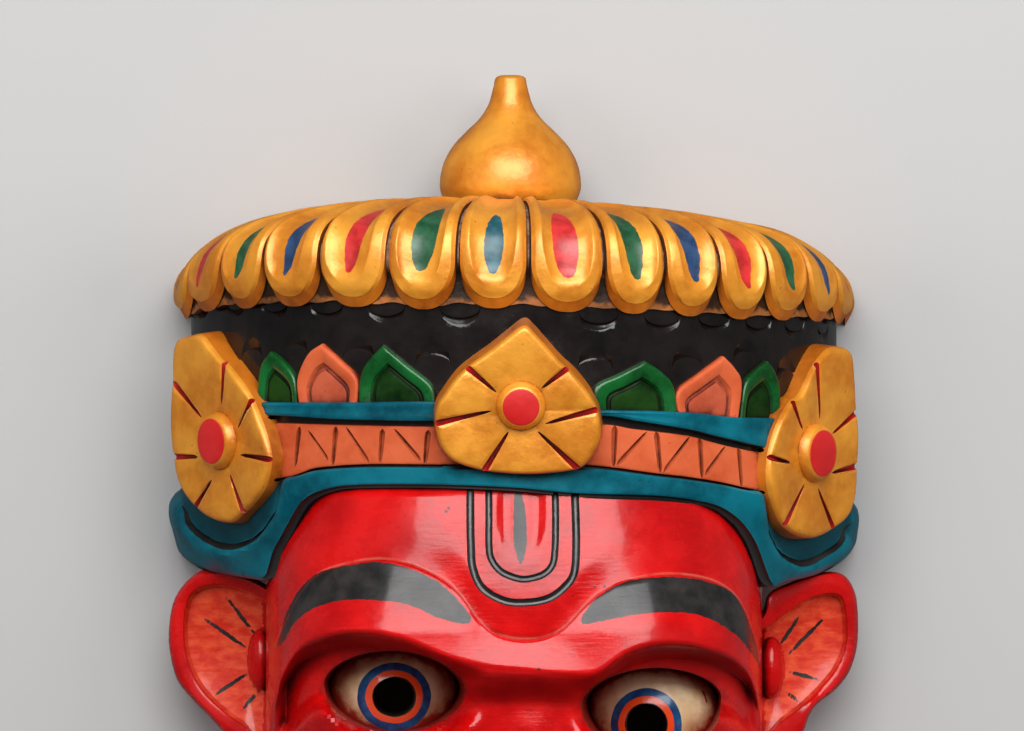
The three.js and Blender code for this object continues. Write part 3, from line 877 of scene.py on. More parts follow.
def petal_rows(total):
    """Rows along a petal: how far above the tip they are, and their share of its full width."""
    rows = []
    for share in np.concatenate([[0.03, 0.08, 0.14], np.linspace(0.21, 1, 12)]):
        turn = share * math.pi / 2
        rows.append((PETAL_TIP * (1 - math.cos(turn)), math.sin(turn) ** 0.86))
    straight = 44
    rows += [(far, 1.0) for far in np.linspace(PETAL_TIP, straight, 17)[1:]]
    rows += [(far, 1.0) for far in np.linspace(straight, total - 6 - PETAL_BEVEL, 11)[1:]]
    return rows


def petal_places(shift, scoop):
    """Places across a petal from -1 to 1, with its scoop about shift."""
    left, right = [
        np.concatenate([side * PETAL_RIM,
                        PETAL_EDGE_FOOT * side
                        + (shift + side * scoop - PETAL_EDGE_FOOT * side) * PETAL_SLOPE,
                        shift + side * scoop * PETAL_SCOOP])
        for side in (-1, 1)]
    return np.concatenate([left, [shift], right[::-1]])


def petal(index):
    """One petal: a thick tongue with a raised edge around a long scoop, and a painted stroke."""
    colour, begin, finish, widest = PETALS[index]
    start, end = PETAL_EDGES[index:index + 2]
    middle = (start + end) / 2
    half_angle = (end - start) / 2 - math.degrees(PETAL_GAP / 2 / CANOPY_RADIUS)
    half_width = math.radians(half_angle) * CANOPY_RADIUS
    length = arc_table(middle)
    total = length[-1]
    deepest = 2.4 - 1.5 * smooth(40, 68, abs(middle))
    lean = max(-1.0, min(1.0, middle / 38))
    sections = []
    strokes = []
    for far, narrow in petal_rows(total):
        front = far + PETAL_BEVEL
        opened = min(1.0, max(0.0, (front - 8.5) / 16))
        scoop = 0.27 + 0.43 * math.sqrt(1 - (1 - opened) ** 2)
        share = (front - begin) / (finish - begin)
        shift = lean * (0.14 - 0.2 * float(smooth(0, 1, share)))
        u = petal_places(shift, scoop)
        inner = np.abs(u - shift)

        lift = 3.0 + 1.3 * smooth(1.02, 0.86, np.abs(u)) * smooth(-0.8, 3.4, far)
        lip = np.exp(-((inner - scoop - 0.05) / 0.09) ** 2)
        lift += 0.2 * deepest * lip * smooth(0, 0.3, opened)
        dip = np.clip(1 - (inner / scoop) ** 2, 0, 1) ** 0.8
        lift -= deepest * dip * smooth(0, 0.36, opened) * smooth(total - 8, total - 34, far)
        lift -= 0.7 * smooth(9, 0, far)
        lift *= 1 - 0.3 * smooth(46, total, far)

        reach = half_angle * narrow
        outer = canopy_point(middle + u * reach,
                             np.full_like(u, np.interp(front, length, STEEPNESS)), lift)
        back = canopy_point(middle + PETAL_BACK * reach,
                            np.full_like(PETAL_BACK, np.interp(far, length, STEEPNESS)),
                            PETAL_BACK_LIFT)
        sections.append(np.vstack([outer, back]))
        lens = widest * np.sin(np.pi * share**0.85) ** 0.62 if 0 < share < 1 else -2.0
        drawn = lean * (0.16 - 0.62 * share)
        strokes.append(np.concatenate([lens - np.abs(u - drawn) * half_width * narrow,
                                       np.full_like(PETAL_BACK, -6.0)]))
    return loft(f"petal_{index}", sections, colour, stroke=np.concatenate(strokes),
                edge_from=len(u) - 1, edge_material="gold_wall_shade")


def finial():
    """The bulb on top of the canopy, drawn out to a blunt tip."""
    profile = through([
        (0, 124), (20.5, 124), (21.6, 131), (22.6, 133.4), (23.7, 136.5), (23.8, 139.5),
        (23.3, 143), (22.1, 146.8), (19.1, 151.8), (14.6, 156.6), (11.4, 159.6), (9.0, 162.6),
        (7.2, 166), (6.2, 169.5), (5.5, 172.4), (5.2, 174.0), (4.4, 174.9), (2.5, 175.3),
        (0, 175.3)], 3)
    profile[:, 0] = np.maximum(profile[:, 0], 0)
    return lathe("finial", profile, 64, "gold", centre=(-1.2, 0, 24))


# Edges of the bands against the angle
STRIP_TOP = height_curve([
    (-60, 65.0), (-30, 65.1), (-13, 65.4), (0, 64), (15, 62.6), (25, 62.2), (34, 61.4), (40, 60.2),
    (50, 59.8), (60, 59.8)])
STRIP_FOOT = height_curve([
    (-60, 61.2), (-42, 60.2), (-31, 59.2), (-13, 58.7), (0, 60), (15, 60.4), (21, 58.8),
    (32, 55.6), (36, 53.9), (40, 52.5), (47, 50.1), (60, 46)])
SALMON_TOP = height_curve([
    (-60, 59), (-43, 58.2), (-13, 57.2), (0, 58), (15, 58), (21, 56.4), (26, 55.4), (32, 54),
    (36, 52.3), (40, 50.7), (45, 49.2), (60, 45)])
SALMON_FOOT = height_curve([
    (-60, 36.5), (-43, 39.9), (-38, 42.4), (-33, 43.5), (-25, 44.2), (-13, 44.1), (0, 44.2),
    (13, 43.9), (25, 41.2), (31, 40), (39, 38), (47, 35.4), (60, 32.5)])
TEAL_FOOT = height_curve([
    (-97, 24), (-90, 20), (-86, 12.6), (-81, 8.8), (-70, 7), (-58, 5.4), (-54.5, 5.2),
    (-51.3, 6.5), (-47.8, 13.8), (-44.5, 19.5), (-41.9, 24.3), (-38, 31.6), (-33, 35.2),
    (-27, 36.4), (-13, 36.5), (0, 35.5), (11, 33.6), (26, 32.6), (36, 29.8), (41.6, 25.2),
    (46, 19.3), (49.5, 13), (52.3, 7.6), (55, 3.6), (58, 2.8), (61.5, 4), (72, 6.2), (80, 8.4),
    (86, 12.4), (90, 20), (97, 24)])

# The dark curve on either side of the collar, below the flower
COLLAR_LINES = (
    seen((180, 506), (187, 522), (201, 537), (216, 545), (231, 547), (246, 543), (258, 535),
         (268, 522), (276, 506), z=50),
    seen((769, 524), (774, 541), (783, 555), (802, 564), (820, 560), (834, 550), (845, 538),
         (853, 524), z=45))


# Radius of the collar against its height, at the front and at the temples
COLLAR_FRONT = height_curve([
    (0, 104), (6, 104.6), (18, 108.5), (30, 112.2), (40, 112.6), (50, 112.6)])
COLLAR_SIDE = height_curve([
    (0, 103), (5, 105.5), (9, 109), (14, 113.4), (19, 115.0), (25, 116.0), (30, 115.6),
    (34, 114.2), (38, 112.8), (50, 112.4)])

SALMON_RADIUS = 110.7
STRIP_RADIUS = 112.9


def collar_radius(angle, y):
    """Radius of the collar, from its front round to the temples."""
    side = smooth(58, 80, np.abs(angle))
    return COLLAR_FRONT(y) * (1 - side) + COLLAR_SIDE(y) * side


def sunk_distance(x, y, line):
    """Distance inside the place below a flower that its curve closes off."""
    return inside_distance(x, y, [*line, (line[-1][0], 50.0), (line[0][0], 50.0)])


def collar_relief(angle, y):
    """Height of the collar above its plain round: sunk below the flowers, with a raised lip."""
    x = np.sin(np.radians(angle)) * collar_radius(angle, y)
    height = np.zeros(np.broadcast(x, y).shape)
    for line in COLLAR_LINES:
        inside = sunk_distance(x, y, line)
        near = smooth(40, 20, np.abs(x - line[len(line) // 2][0]))
        lip = 1.3 * np.exp(-(((inside + 3.0) / 2.3) ** 2))
        height += near * (lip - 2.2 * smooth(-1.3, 1.2, inside))
    return height


def band(name, foot, top, radius, steps, material, dish=0.0):
    """A strip around the front of the drum, dished along its middle."""
    def profile(angle):
        low = float(foot(angle))
        high = float(top(angle))
        face = [(radius - dish * math.sin(math.pi * share), low + 1 + share * (high - low - 2))
                for share in np.linspace(0, 1, 5)]
        return [(96, low), (radius - 1.1, low), (radius - 0.3, low + 0.3), *face,
                (radius - 0.3, high - 0.3), (radius - 1.1, high), (96, high)]
    return half_turn(name, profile, np.linspace(-62, 62, steps), material)


def collar():
    """The lower band, which spreads into a collar at either temple."""
    angles = np.concatenate([np.linspace(-CROWN_END, -30, 84), np.linspace(-28, 28, 29),
                             np.linspace(30, CROWN_END, 84)])

    def profile(angle):
        low = float(TEAL_FOOT(angle))
        high = float(SALMON_FOOT(angle)) - 0.3
        y = np.concatenate([[low + 0.5], low + 1.6 + np.linspace(0, 1, 15) * (high - low - 2.8)])
        turn = np.full_like(y, angle)
        radius = collar_radius(turn, y) + collar_relief(turn, y)
        radius[0] -= 0.6
        return [(80, low), (radius[0] - 1.4, low), *zip(radius, y), (radius[-1] - 1.2, high),
                (80, high)]

    return half_turn("collar", profile, angles, "teal")


def on_round(radius):
    """Height of a round about the Y axis, as seen from the front."""
    return lambda x, y: np.sqrt(np.maximum(radius**2 - np.asarray(x) ** 2, 1))


def on_collar(x, y):
    """Height of the collar, whose radius is found in a few rounds."""
    radius = np.full_like(np.asarray(x, float), 112.0)
    for _ in range(4):
        angle = np.degrees(np.arcsin(np.clip(x / radius, -1, 1)))
        radius = collar_radius(angle, y) - 0.3
    return np.sqrt(np.maximum(radius**2 - np.asarray(x) ** 2, 1))


def normals(surface, x, y):
    """Unit normals of a surface z(x, y)."""
    step = 0.2
    slope_x = (surface(x + step, y) - surface(x - step, y)) / (2 * step)
    slope_y = (surface(x, y + step) - surface(x, y - step)) / (2 * step)
    normal = np.column_stack([-slope_x, -slope_y, np.ones_like(x)])
    return normal / np.linalg.norm(normal, axis=1, keepdims=True)


def groove(name, path, width, depth, surface, material, taper=0.3, spacing=1.2, corners=10):
    """A ribbon along a path seen from the front, half sunk in a surface, to cut with.

    width is a number or a function of the share of the way along. With four corners it cuts
    a V, otherwise a rounded channel."""
    line = through(path, 16)
    length = np.concatenate([[0], np.cumsum(np.linalg.norm(np.diff(line, axis=0), axis=1))])
    count = max(5, int(length[-1] / spacing))
    share = (1 - np.cos(np.linspace(0, np.pi, count))) / 2 * 0.5 + np.linspace(0, 1, count) * 0.5
    x = np.interp(share * length[-1], length, line[:, 0])
    y = np.interp(share * length[-1], length, line[:, 1])
    normal = normals(surface, x, y)
    centre = np.column_stack([x, y, surface(x, y)])
    tangent = np.gradient(centre, axis=0)
    tangent /= np.linalg.norm(tangent, axis=1, keepdims=True)
    side = np.cross(tangent, normal)
    shrink = np.sqrt(np.clip(np.minimum(share, 1 - share) / taper, 0.02, 1))
    turns = np.linspace(0, 2 * np.pi, corners, endpoint=False)
    sections = []
    for i in range(count):
        half = width(share[i]) / 2 if callable(width) else width / 2
        sections.append(centre[i] + np.outer(np.cos(turns), side[i]) * half * shrink[i]
                        + np.outer(np.sin(turns), normal[i]) * depth * shrink[i])
    return loft(name, sections, material)


# Gouges of the drum, by the middle of their walls, in pixels
SMILES = [(200, 309), (233, 309.5), (273, 311.5), (326, 313.5), (386, 316), (460, 318),
          (599, 323.5), (663, 325.5), (715, 326), (760, 328.5), (797, 331), (827, 333)]
FROWNS = [(250, 349.6), (293.6, 344.6), (357.9, 348.9), (432.8, 353.6), (595.4, 358.3),
          (688, 357.6), (747, 351.6), (788, 370)]


def gouge(x, y, width, sag, reach, depth, side):
    """A crescent stabbed into the drum: a wall along an arc and a floor that runs out.

    x and y are the middle of the wall, side is 1 for a smile and -1 for a frown; sag is how
    far the arc curves, reach how far the floor runs."""
    angle = math.asin(max(-0.999, min(0.999, x / DRUM_RADIUS)))
    sections = []
    for share in np.linspace(-1, 1, 15):
        arch = math.sqrt(max(0.0, 1 - share**2))
        wall = y + side * sag * (1 - arch)
        run = side * (reach * arch + 0.05)
        floor = depth * arch + 0.02
        lip = side * 0.9 * arch
        turn = angle + share * width / 2 / DRUM_RADIUS
        profile = [(wall + lip + 0.05 * side, 2.0), (wall + lip, 0.0), (wall, -0.16 * floor),
                   (wall, -floor), (wall - 0.35 * run, -0.72 * floor),
                   (wall - 0.7 * run, -0.3 * floor), (wall - run, 0.0), (wall - run, 2.0)]
        sections.append([((DRUM_RADIUS + lift) * math.sin(turn), height,
                          (DRUM_RADIUS + lift) * math.cos(turn)) for height, lift in profile])
    return loft(f"gouge_{x:.0f}_{y:.0f}", sections, "black")


def gouges():
    return ([gouge(x, y, 14.4, 4.0, 2.9, 1.4, 1) for x, y in seen(*SMILES)]
            + [gouge(x, y, 12.6, 3.8, 4.6, 1.7, -1) for x, y in seen(*FROWNS)])


# Leaves by their paint and their outline from the left foot over the tip to the right foot, in
# pixels
LEAVES = [
    ("green", ((256, 399), (259, 368), (268.8, 351.6), (282, 362), (294, 378), (297.6, 402))),
    ("salmon", ((298.5, 402), (296.2, 379), (307, 354), (320.4, 343.8), (338, 359), (357, 379),
                (357.5, 402))),
    ("green", ((358.5, 400), (359.2, 380), (366, 363), (382.6, 344.9), (407, 365), (431.5, 385),
               (437, 400))),
    ("green", ((593, 409), (595, 387), (620, 374), (645.6, 360.9), (661, 371), (674, 386),
               (678, 411))),
    ("salmon", ((677.7, 411), (677, 392), (700, 374), (725, 356.2), (736, 368), (743, 383),
                (739, 418))),
    ("green", ((740, 418), (745, 386), (756, 372), (769.5, 361), (777, 372), (781, 388),
               (781, 411))),
]


# Rings of a leaf from its edge inwards: their share of its size, and height off the drum
LEAF_RINGS = [(1.0, -3.0), (1.0, 1.5), (0.985, 2.2), (0.95, 2.6), (0.90, 2.7), (0.78, 2.3),
              (0.70, 1.7), (0.67, 0.7), (0.63, 0.3), (0.59, 0.5), (0.57, 1.1), (0.48, 1.3),
              (0.25, 1.1), (0.03, 0.8)]


def leaf(number, material, places):
    """A pointed leaf on the drum: a raised border round a groove and a sloping panel."""
    outline = np.array(seen(*places, z=85))
    around = np.arcsin(outline[:, 0] / (DRUM_RADIUS + 2.5))
    for end in (0, -1):
        outline[end, 1] = STRIP_TOP(math.degrees(around[end])) - 1.5
    outline[:, 0] = around * DRUM_RADIUS
    tip = int(np.argmax(outline[:, 1]))
    left_side = through(outline[:tip + 1], 5)
    right_side = through(outline[tip:], 5)
    low, high = outline[0], outline[-1]
    floor = high + (low - high) * np.linspace(0, 1, 8)[1:-1, None]
    outline = np.vstack([left_side, right_side[1:], floor])
    centre = (low + high) / 2 + np.array([0.0, 0.4])
    sections = []
    for scale, lift in LEAF_RINGS[::-1]:
        place = centre + (outline - centre) * scale
        turn = place[:, 0] / DRUM_RADIUS
        radius = DRUM_RADIUS + lift
        sections.append(np.column_stack([radius * np.sin(turn), place[:, 1],
                                         radius * np.cos(turn)]))
    # The inner rows take a darker copy of the leaf's paint, as painted shade.
    return loft(f"leaf_{number}", sections, material, edge_rows=6,
                edge_material="shaded_" + material)


def leaves():
    """The six leaves on the drum."""
    return [leaf(i, material, places) for i, (material, places) in enumerate(LEAVES)]


# Flowers: the middle of the plate in millimetres, its turn and tilt in degrees and the radius
# of its boss. The hub, the outline and the grooves from their outer to their inner ends are
# in pixels.
FLOWERS = {
    "centre_flower": {
        "place": (1.7, 61.8, 119.5), "turn": 0, "tilt": 8, "boss": 6.2, "hub": (521, 406),
        "outline": (
            (524, 326), (508, 337), (490, 351), (472, 364), (458, 376), (444, 395), (437, 406),
            (435, 422), (439, 443), (447, 456), (458, 464), (481, 471), (505, 474), (528, 475),
            (550, 474), (567, 472), (580, 469), (590, 460), (600, 440), (600, 421), (596, 406),
            (586, 390), (572, 373), (560, 362), (544, 344), (534, 333)),
        "grooves": (
            ((462, 363), (497, 393)), ((435, 424), (492, 411)), ((483, 473), (509, 431)),
            ((580, 471), (537, 431)), ((600, 409), (545, 424)), ((571, 366), (541, 389)))},
    "left_flower": {
        "place": (-100.2, 55.5, 59.4), "turn": -53, "tilt": 2, "boss": 7.7, "hub": (218.5, 441),
        "outline": (
            (174, 343), (187, 336), (199, 335), (209, 347), (220, 361), (224, 363), (238, 380),
            (248, 396), (257, 416), (265, 440), (268, 462), (263, 486), (252, 503), (240, 514),
            (228, 523), (209, 519), (190, 504), (177, 480), (171, 450), (170, 412), (171, 376)),
        "grooves": (
            ((223, 360), (221, 405)), ((252, 396), (238, 428)), ((271, 460), (240, 455)),
            ((243, 515), (229, 474)), ((193, 509), (212, 480)), ((171, 457), (198, 457)),
            ((174, 384), (201, 418)))},
    "right_flower": {
        "place": (101.9, 51.2, 55.0), "turn": 55, "tilt": 2, "boss": 7.9, "hub": (815.5, 453),
        "outline": (
            (829, 350), (841, 347), (852, 352), (855, 376), (857, 399), (859, 429), (858, 480),
            (852, 512), (839, 527), (818, 538), (798, 535), (782, 520), (771, 489), (771, 458),
            (780, 424), (793, 402), (802, 394), (815, 368)),
        "grooves": (
            ((818, 363), (821, 420)), ((794, 402), (803, 430)), ((770, 457), (790, 463)),
            ((786, 525), (805, 484)), ((835, 530), (818, 488)), ((859, 466), (832, 473)),
            ((859, 411), (833, 434)))},
}

# Rings of a flower from its edge inwards: share of its size, height, and swell of the petals
FLOWER_RINGS = [(1.03, -15, 0), (1.01, -4.5, 0), (1.0, -1.9, 0.2), (0.985, -0.9, 0.5),
                (0.965, -0.45, 0.7), (0.93, -0.25, 0.8), (0.84, -0.2, 0.8), (0.7, -0.3, 0.7),
                (0.55, -0.4, 0.55), (0.4, -0.5, 0.35), (0.25, -0.6, 0.1), (0.08, -0.6, 0)]


def flower_frame(flower):
    """Where a flower stands: it is tilted back, turned to the side and moved to its place."""
    return (Matrix.Translation(Vector(flower["place"]) * MM)
            @ Matrix.Rotation(math.radians(flower["turn"]), 4, "Y")
            @ Matrix.Rotation(math.radians(flower["tilt"]), 4, "X"))


def on_plate(places, flower):
    """Where the camera sees places of the photograph on the plane of a flower."""
    back = flower_frame(flower).inverted()
    start = back @ (Vector((*VIEW_CENTRE, VIEW_DISTANCE)) * MM)
    found = []
    for x, y in seen(*places, z=FOCUS_Z):
        ray = back @ (Vector((x, y, FOCUS_Z)) * MM) - start
        point = start - ray * (start.z / ray.z)
        found.append((point.x / MM, point.y / MM))
    return np.array(found)


def petal_bulge(around, ends):
    """How far the plate swells at each angle: 0 along the grooves and 1 between them."""
    valleys = np.sort([math.atan2(*line[0][::-1]) for line in ends])
    valleys = np.concatenate([[valleys[-1] - 2 * np.pi], valleys, [valleys[0] + 2 * np.pi]])
    following = np.clip(np.searchsorted(valleys, around), 1, len(valleys) - 1)
    between = ((around - valleys[following - 1])
               / (valleys[following] - valleys[following - 1]))
    return np.sin(np.pi * np.clip(between, 0, 1)) ** 0.7


def flower_boss(name, flower):
    """The gold ring in the middle of a flower, and the red cap in it."""
    boss = flower["boss"]
    centre = (*on_plate([flower["hub"]], flower)[0], 0)
    ring = [(0, -6), (boss + 2.1, -6), (boss + 2.0, -0.3), (boss + 1.7, 1.0), (boss + 1.1, 2.2),
            (boss + 0.5, 2.9), (boss - 0.1, 3.1), (0, 3.1)]
    cap = [(0, 0), (boss - 0.1, 0), (boss - 0.1, 3.2), (boss - 0.6, 3.5), (boss * 0.5, 3.7),
           (0, 3.8)]
    return [lathe(name + "_ring", ring, 44, "gold", centre=centre, along="z"),
            lathe(name + "_hub", cap, 40, "hub", centre=centre, along="z")]


def flower_cuts(name, ends):
    """A wide bevel with a red line in it along each groove, wider towards the edge."""
    cuts = []
    for i, (outer, inner) in enumerate(ends):
        outer = outer + (outer - inner) * 0.08
        path = [inner, (inner + outer) / 2, outer]
        cuts.append(groove(f"{name}_bevel_{i}", path, lambda share: 1.2 + 3.4 * share, 1.0,
                           flower_top, "gold", taper=0.12, corners=4))
        cuts.append(groove(f"{name}_line_{i}", path, lambda share: 0.9 + 1.7 * share, 2.2,
                           flower_top, "groove_red", taper=0.12))
    return cuts


def flower_top(x, y):
    """Height of a flower's plate in its own frame, where its grooves are cut."""
    return np.full_like(x, 0.1)


def flowers():
    """The solids of the three flowers, and the grooves to cut into them."""
    pieces = []
    cuts = []
    for name, flower in FLOWERS.items():
        edge = through(on_plate(flower["outline"], flower), 5, closed=True)
        ends = [on_plate(line, flower) for line in flower["grooves"]]
        bulge = petal_bulge(np.arctan2(edge[:, 1], edge[:, 0]), ends)
        sections = [np.column_stack([edge * scale, height + swell * bulge])
                    for scale, height, swell in FLOWER_RINGS]
        plate = loft(name, sections, "gold", edge_rows=2, edge_material="gold_wall_shade")
        own_pieces = [plate, *flower_boss(name, flower)]
        own_cuts = flower_cuts(name, ends)
        for piece in own_pieces + own_cuts:
            piece.data.transform(flower_frame(flower))
        pieces += own_pieces
        cuts += own_cuts
    return pieces, cuts


# Ears

# Outer and inner outlines of the ears, left and right: as far as the photograph shows them in
# pixels, and the rest of the way round in millimetres
EAR_RIM_Z = 33
EAR_OUTLINES = {
    -1: (seen((268, 586), (245, 575), (209, 569), (188, 580), (173, 602), (168, 635), (171, 662),
              (178, 683), (194, 702), (209, 717), (222, 731), z=EAR_RIM_Z)
         + [(-92, -52), (-86, -58), (-80, -60), (-74, -50), (-72, -25), (-73, -4)],
         seen((267, 602), (245, 590), (215, 585), (194, 592), (186, 608), (184, 635), (189, 665),
              (203, 691), (227, 714), (246, 727), z=EAR_RIM_Z)
         + [(-86, -50), (-80, -50), (-76, -40), (-75, -25), (-76, -8)]),
    1: (seen((761, 614), (769, 593), (789, 583), (813, 575), (831, 572), (845, 576), (854, 589),
             (858, 607), (858, 644), (850, 672), (835, 691), (818, 704), (809, 717), (803, 733),
             z=EAR_RIM_Z)
        + [(92, -54), (86, -60), (79, -60), (74, -48), (73, -25), (75, -12)],
        seen((766, 628), (789, 611), (813, 597), (837, 595), (845, 609), (846, 644), (837, 668),
             (823, 686), (801, 707), (780, 722), z=EAR_RIM_Z)
        + [(84, -48), (79, -46), (76, -36), (75, -25), (77, -14)]),
}
EAR_CENTRES = {-1: (-90.0, -20.0), 1: (90.0, -19.0)}
TRAGUS_PLACES = {-1: seen((258, 664))[0], 1: seen((774, 672))[0]}


def from_ear_centre(side, x, y):
    """Angle about the middle of an ear, and the distance from it."""
    dx = x - EAR_CENTRES[side][0]
    dy = y - EAR_CENTRES[side][1]
    return np.arctan2(dy, dx), np.hypot(dx, dy)


def ear_reach(side, which, angle):
    """Distance from the middle of an ear to its outer or inner outline."""
    turn, reach = from_ear_centre(side, *through(EAR_OUTLINES[side][which], 6, closed=True).T)
    order = np.argsort(turn)
    turn = turn[order]
    return np.interp(angle, np.concatenate([turn - 2 * np.pi, turn, turn + 2 * np.pi]),
                     np.tile(reach[order], 3))


def ear_plane(x):
    """Height of the rim of an ear, which leans back away from the head."""
    return 38 - 0.445 * (np.abs(x) - 84)


def ear(side):
    """An ear: a plate with a rounded edge and a sunken middle, rooted in the head."""
    angles = np.linspace(-np.pi, np.pi, 150, endpoint=False)
    outer = ear_reach(side, 0, angles)
    inner = np.minimum(ear_reach(side, 1, angles), outer - 2.5)
    rows = [(outer - 2.0, -13), (outer - 0.4, -11.5), (outer, -8), (outer, -3.6),
            (outer - 0.35, -1.8), (outer - 1.0, -0.6), (outer * 0.7 + inner * 0.3, 0.1),
            (outer * 0.4 + inner * 0.6, 0.1), (inner + 0.5, -0.5), (inner, -1.3),
            (inner - 0.4, -3.0), (inner - 1.2, -4.6)]
    rows += [(inner * share - 1.2 * share, -4.6 - 3.2 * (1 - share**2))
             for share in np.linspace(0.94, 0.04, 15)]
    sections = []
    for reach, height in rows:
        x = EAR_CENTRES[side][0] + reach * np.cos(angles)
        y = EAR_CENTRES[side][1] + reach * np.sin(angles)
        sections.append(np.column_stack([x, y, ear_plane(x) + height]))
    return loft(f"ear_{side}", sections, "red")


def ellipsoid(name, centre, half, material, steps=28):
    """An ellipsoid by its middle and its three half widths."""
    turns = np.linspace(0, np.pi, steps // 2 + 1)
    profile = [(math.sin(t), -math.cos(t)) for t in turns]
    ball = lathe(name, profile, steps, material, along="z")
    ball.data.transform(Matrix.Translation(Vector(centre) * MM) @ Matrix.Diagonal((*half, 1)))
    return ball


def tragus(side):
    """The small lump in front of an ear."""
    x, y = TRAGUS_PLACES[side]
    return ellipsoid(f"tragus_{side}", (x, y, 32), (4.2, 10.0, 5.6), "red")


# Eyes

def eye_opening(eye):
    """What is cut out between the lids: it widens forwards, and leans with the eye."""
    turns = np.linspace(0, 2 * np.pi, 80, endpoint=False)
    lean = math.radians(eye["lean"])
    power = 2 / EYE_ROUNDNESS
    sections = []
    for forward, scale in ((0, 0.97), (40, 1.10), (75, 1.14)):
        u = eye["half"] * scale * np.sign(np.cos(turns)) * np.abs(np.cos(turns)) ** power
        height = np.where(np.sin(turns) > 0, eye["rise"], -eye["fall"])
        v = height * scale * np.abs(np.sin(turns)) ** power
        x = eye["centre"][0] + u * math.cos(lean) - v * math.sin(lean)
        y = eye["centre"][1] + u * math.sin(lean) + v * math.cos(lean)
        sections.append(np.column_stack([x, y, np.full_like(x, eye["ball"][2] + forward)]))
    return loft("eye_opening", sections, "lid")


def pupil_hole(eye):
    """The sight hole through the pupil into the hollow, narrower behind."""
    turns = np.linspace(0, 2 * np.pi, 40, endpoint=False)
    x, y = eye["pupil"]
    a, b = eye["pupil_half"]
    sections = []
    for z, scale in ((35, 0.76), (68, 0.80), (86, 0.94), (90, 1.0), (110, 1.02)):
        sections.append(np.column_stack([x + a * scale * np.cos(turns),
                                         y + b * scale * np.sin(turns),
                                         np.full_like(turns, z)]))
    return loft("pupil_hole", sections, "pupil")


def eyeball(eye):
    """The ball of an eye, of which the lids leave a part to be seen."""
    return ellipsoid("eyeball", eye["ball"], (BALL_RADIUS,) * 3, "eye", steps=72)


# The two curves of the forehead mark, in pixels
OUTER_MARK = [(470.4, 486), (470.4, 515), (471, 545), (473, 568), (483, 588), (504, 600),
              (525, 602), (548, 598), (565, 586), (574, 572), (576, 546), (575.5, 515),
              (574.5, 488)]
INNER_MARK = [(488.6, 486), (489, 510), (489, 545), (491.5, 559), (501, 571), (516, 577.5),
              (527, 578.5), (543, 574), (552.5, 564), (555, 546), (555.5, 515), (555, 488)]


def forehead_mark():
    """Grooves along the two curves of the forehead mark."""
    return [groove("outer_mark", seen(*OUTER_MARK), 2.7, 1.3, face_z, "ink", taper=0.01,
                   spacing=1.0),
            groove("inner_mark", seen(*INNER_MARK), 2.4, 1.2, face_z, "ink", taper=0.01,
                   spacing=1.0)]


def mouth():
    """The dark line between the lips."""
    path = [(x, float(MOUTH_LINE(x))) for x in np.linspace(MOUTH_X - 43, MOUTH_X + 43, 9)]
    return groove("mouth", path, 3.0, 1.8, face_z, "ink", taper=0.12, spacing=1.6)


# Cuts in the salmon band from their upper to their lower end, in pixels
UPRIGHT_CUTS = [((299, 427), (294.5, 467)), ((335.8, 426.5), (332.4, 466.5)),
                ((382.6, 429), (380, 463)), ((428.5, 430), (425, 464)),
                ((614.8, 425), (613.4, 467)), ((656.3, 431), (660.5, 473.5)),
                ((699.8, 436), (702.5, 479)), ((739.3, 447), (742.7, 488))]
SLANTED_CUTS = [((307.6, 430.6), (327.7, 461)), ((345.8, 427.2), (369.2, 464)),
                ((394, 428.6), (420.8, 461)), ((647.6, 431), (616.8, 465)),
                ((691, 435.5), (663.7, 472.5)), ((726.6, 445.5), (705.2, 476))]


def straight(ends):
    """A straight path between two places of the photograph."""
    (ax, ay), (bx, by) = ends
    return seen((ax, ay), ((ax + bx) / 2, (ay + by) / 2), (bx, by))


def salmon_cuts():
    """Carved strokes of the salmon band."""
    surface = on_round(SALMON_RADIUS)
    cuts = []
    for i, ends in enumerate(UPRIGHT_CUTS):
        cuts.append(groove(f"upright_{i}", straight(ends), lambda share: 2.3 - 0.8 * share, 1.5,
                           surface, "groove_brown", taper=0.12, corners=6))
    for i, ends in enumerate(SLANTED_CUTS):
        cuts.append(groove(f"slant_{i}", straight(ends), lambda share: 0.9 + 1.1 * share, 1.2,
                           surface, "groove_brown", taper=0.15, corners=4))
    return cuts


# Dark lines where the bands meet: along which edge, how far above it, the angles between
# which they run, and their width
BAND_LINES = {
    "strip_line": (STRIP_FOOT, -0.7, -50, -12, 1.2),
    "strip_line_2": (STRIP_FOOT, -0.9, 14, 50, 1.6),
    "salmon_line": (SALMON_FOOT, -0.3, -50, -12, 1.2),
    "salmon_line_2": (SALMON_FOOT, -0.3, 12, 50, 1.2),
}


def face_line_width(share):
    """The line above the face is wider where it runs down beside the temples."""
    return 1.8 + 2.4 * max(0, abs(2 * share - 1) - 0.6) / 0.4


def dark_lines():
    """Dark lines where the bands meet, above the face and on the collar: dark paint, with painted shade
    of the steps.
    """
    cuts = []
    for name, (edge, lift, start, end, width) in BAND_LINES.items():
        path = [(111.2 * math.sin(math.radians(angle)), float(edge(angle)) + lift)
                for angle in np.linspace(start, end, 16)]
        cuts.append(groove(name, path, width, 1.6, on_round(111.0), "groove_dark", taper=0.02))
    path = []
    for angle in np.concatenate([np.linspace(-54, -36, 14), np.linspace(-32, 30, 14),
                                 np.linspace(34, 57, 16)]):
        y = float(TEAL_FOOT(angle)) + 0.35
        path.append((float(collar_radius(angle, y)) * math.sin(math.radians(angle)), y))
    cuts.append(groove("face_line", path, face_line_width, 1.6, on_collar, "groove_dark",
                       taper=0.02))
    for i, line in enumerate(COLLAR_LINES):
        cuts.append(groove(f"collar_line_{i}", line, 1.8, 2.4, on_collar, "groove_dark",
                           taper=0.1))
    return cuts


# Hollow

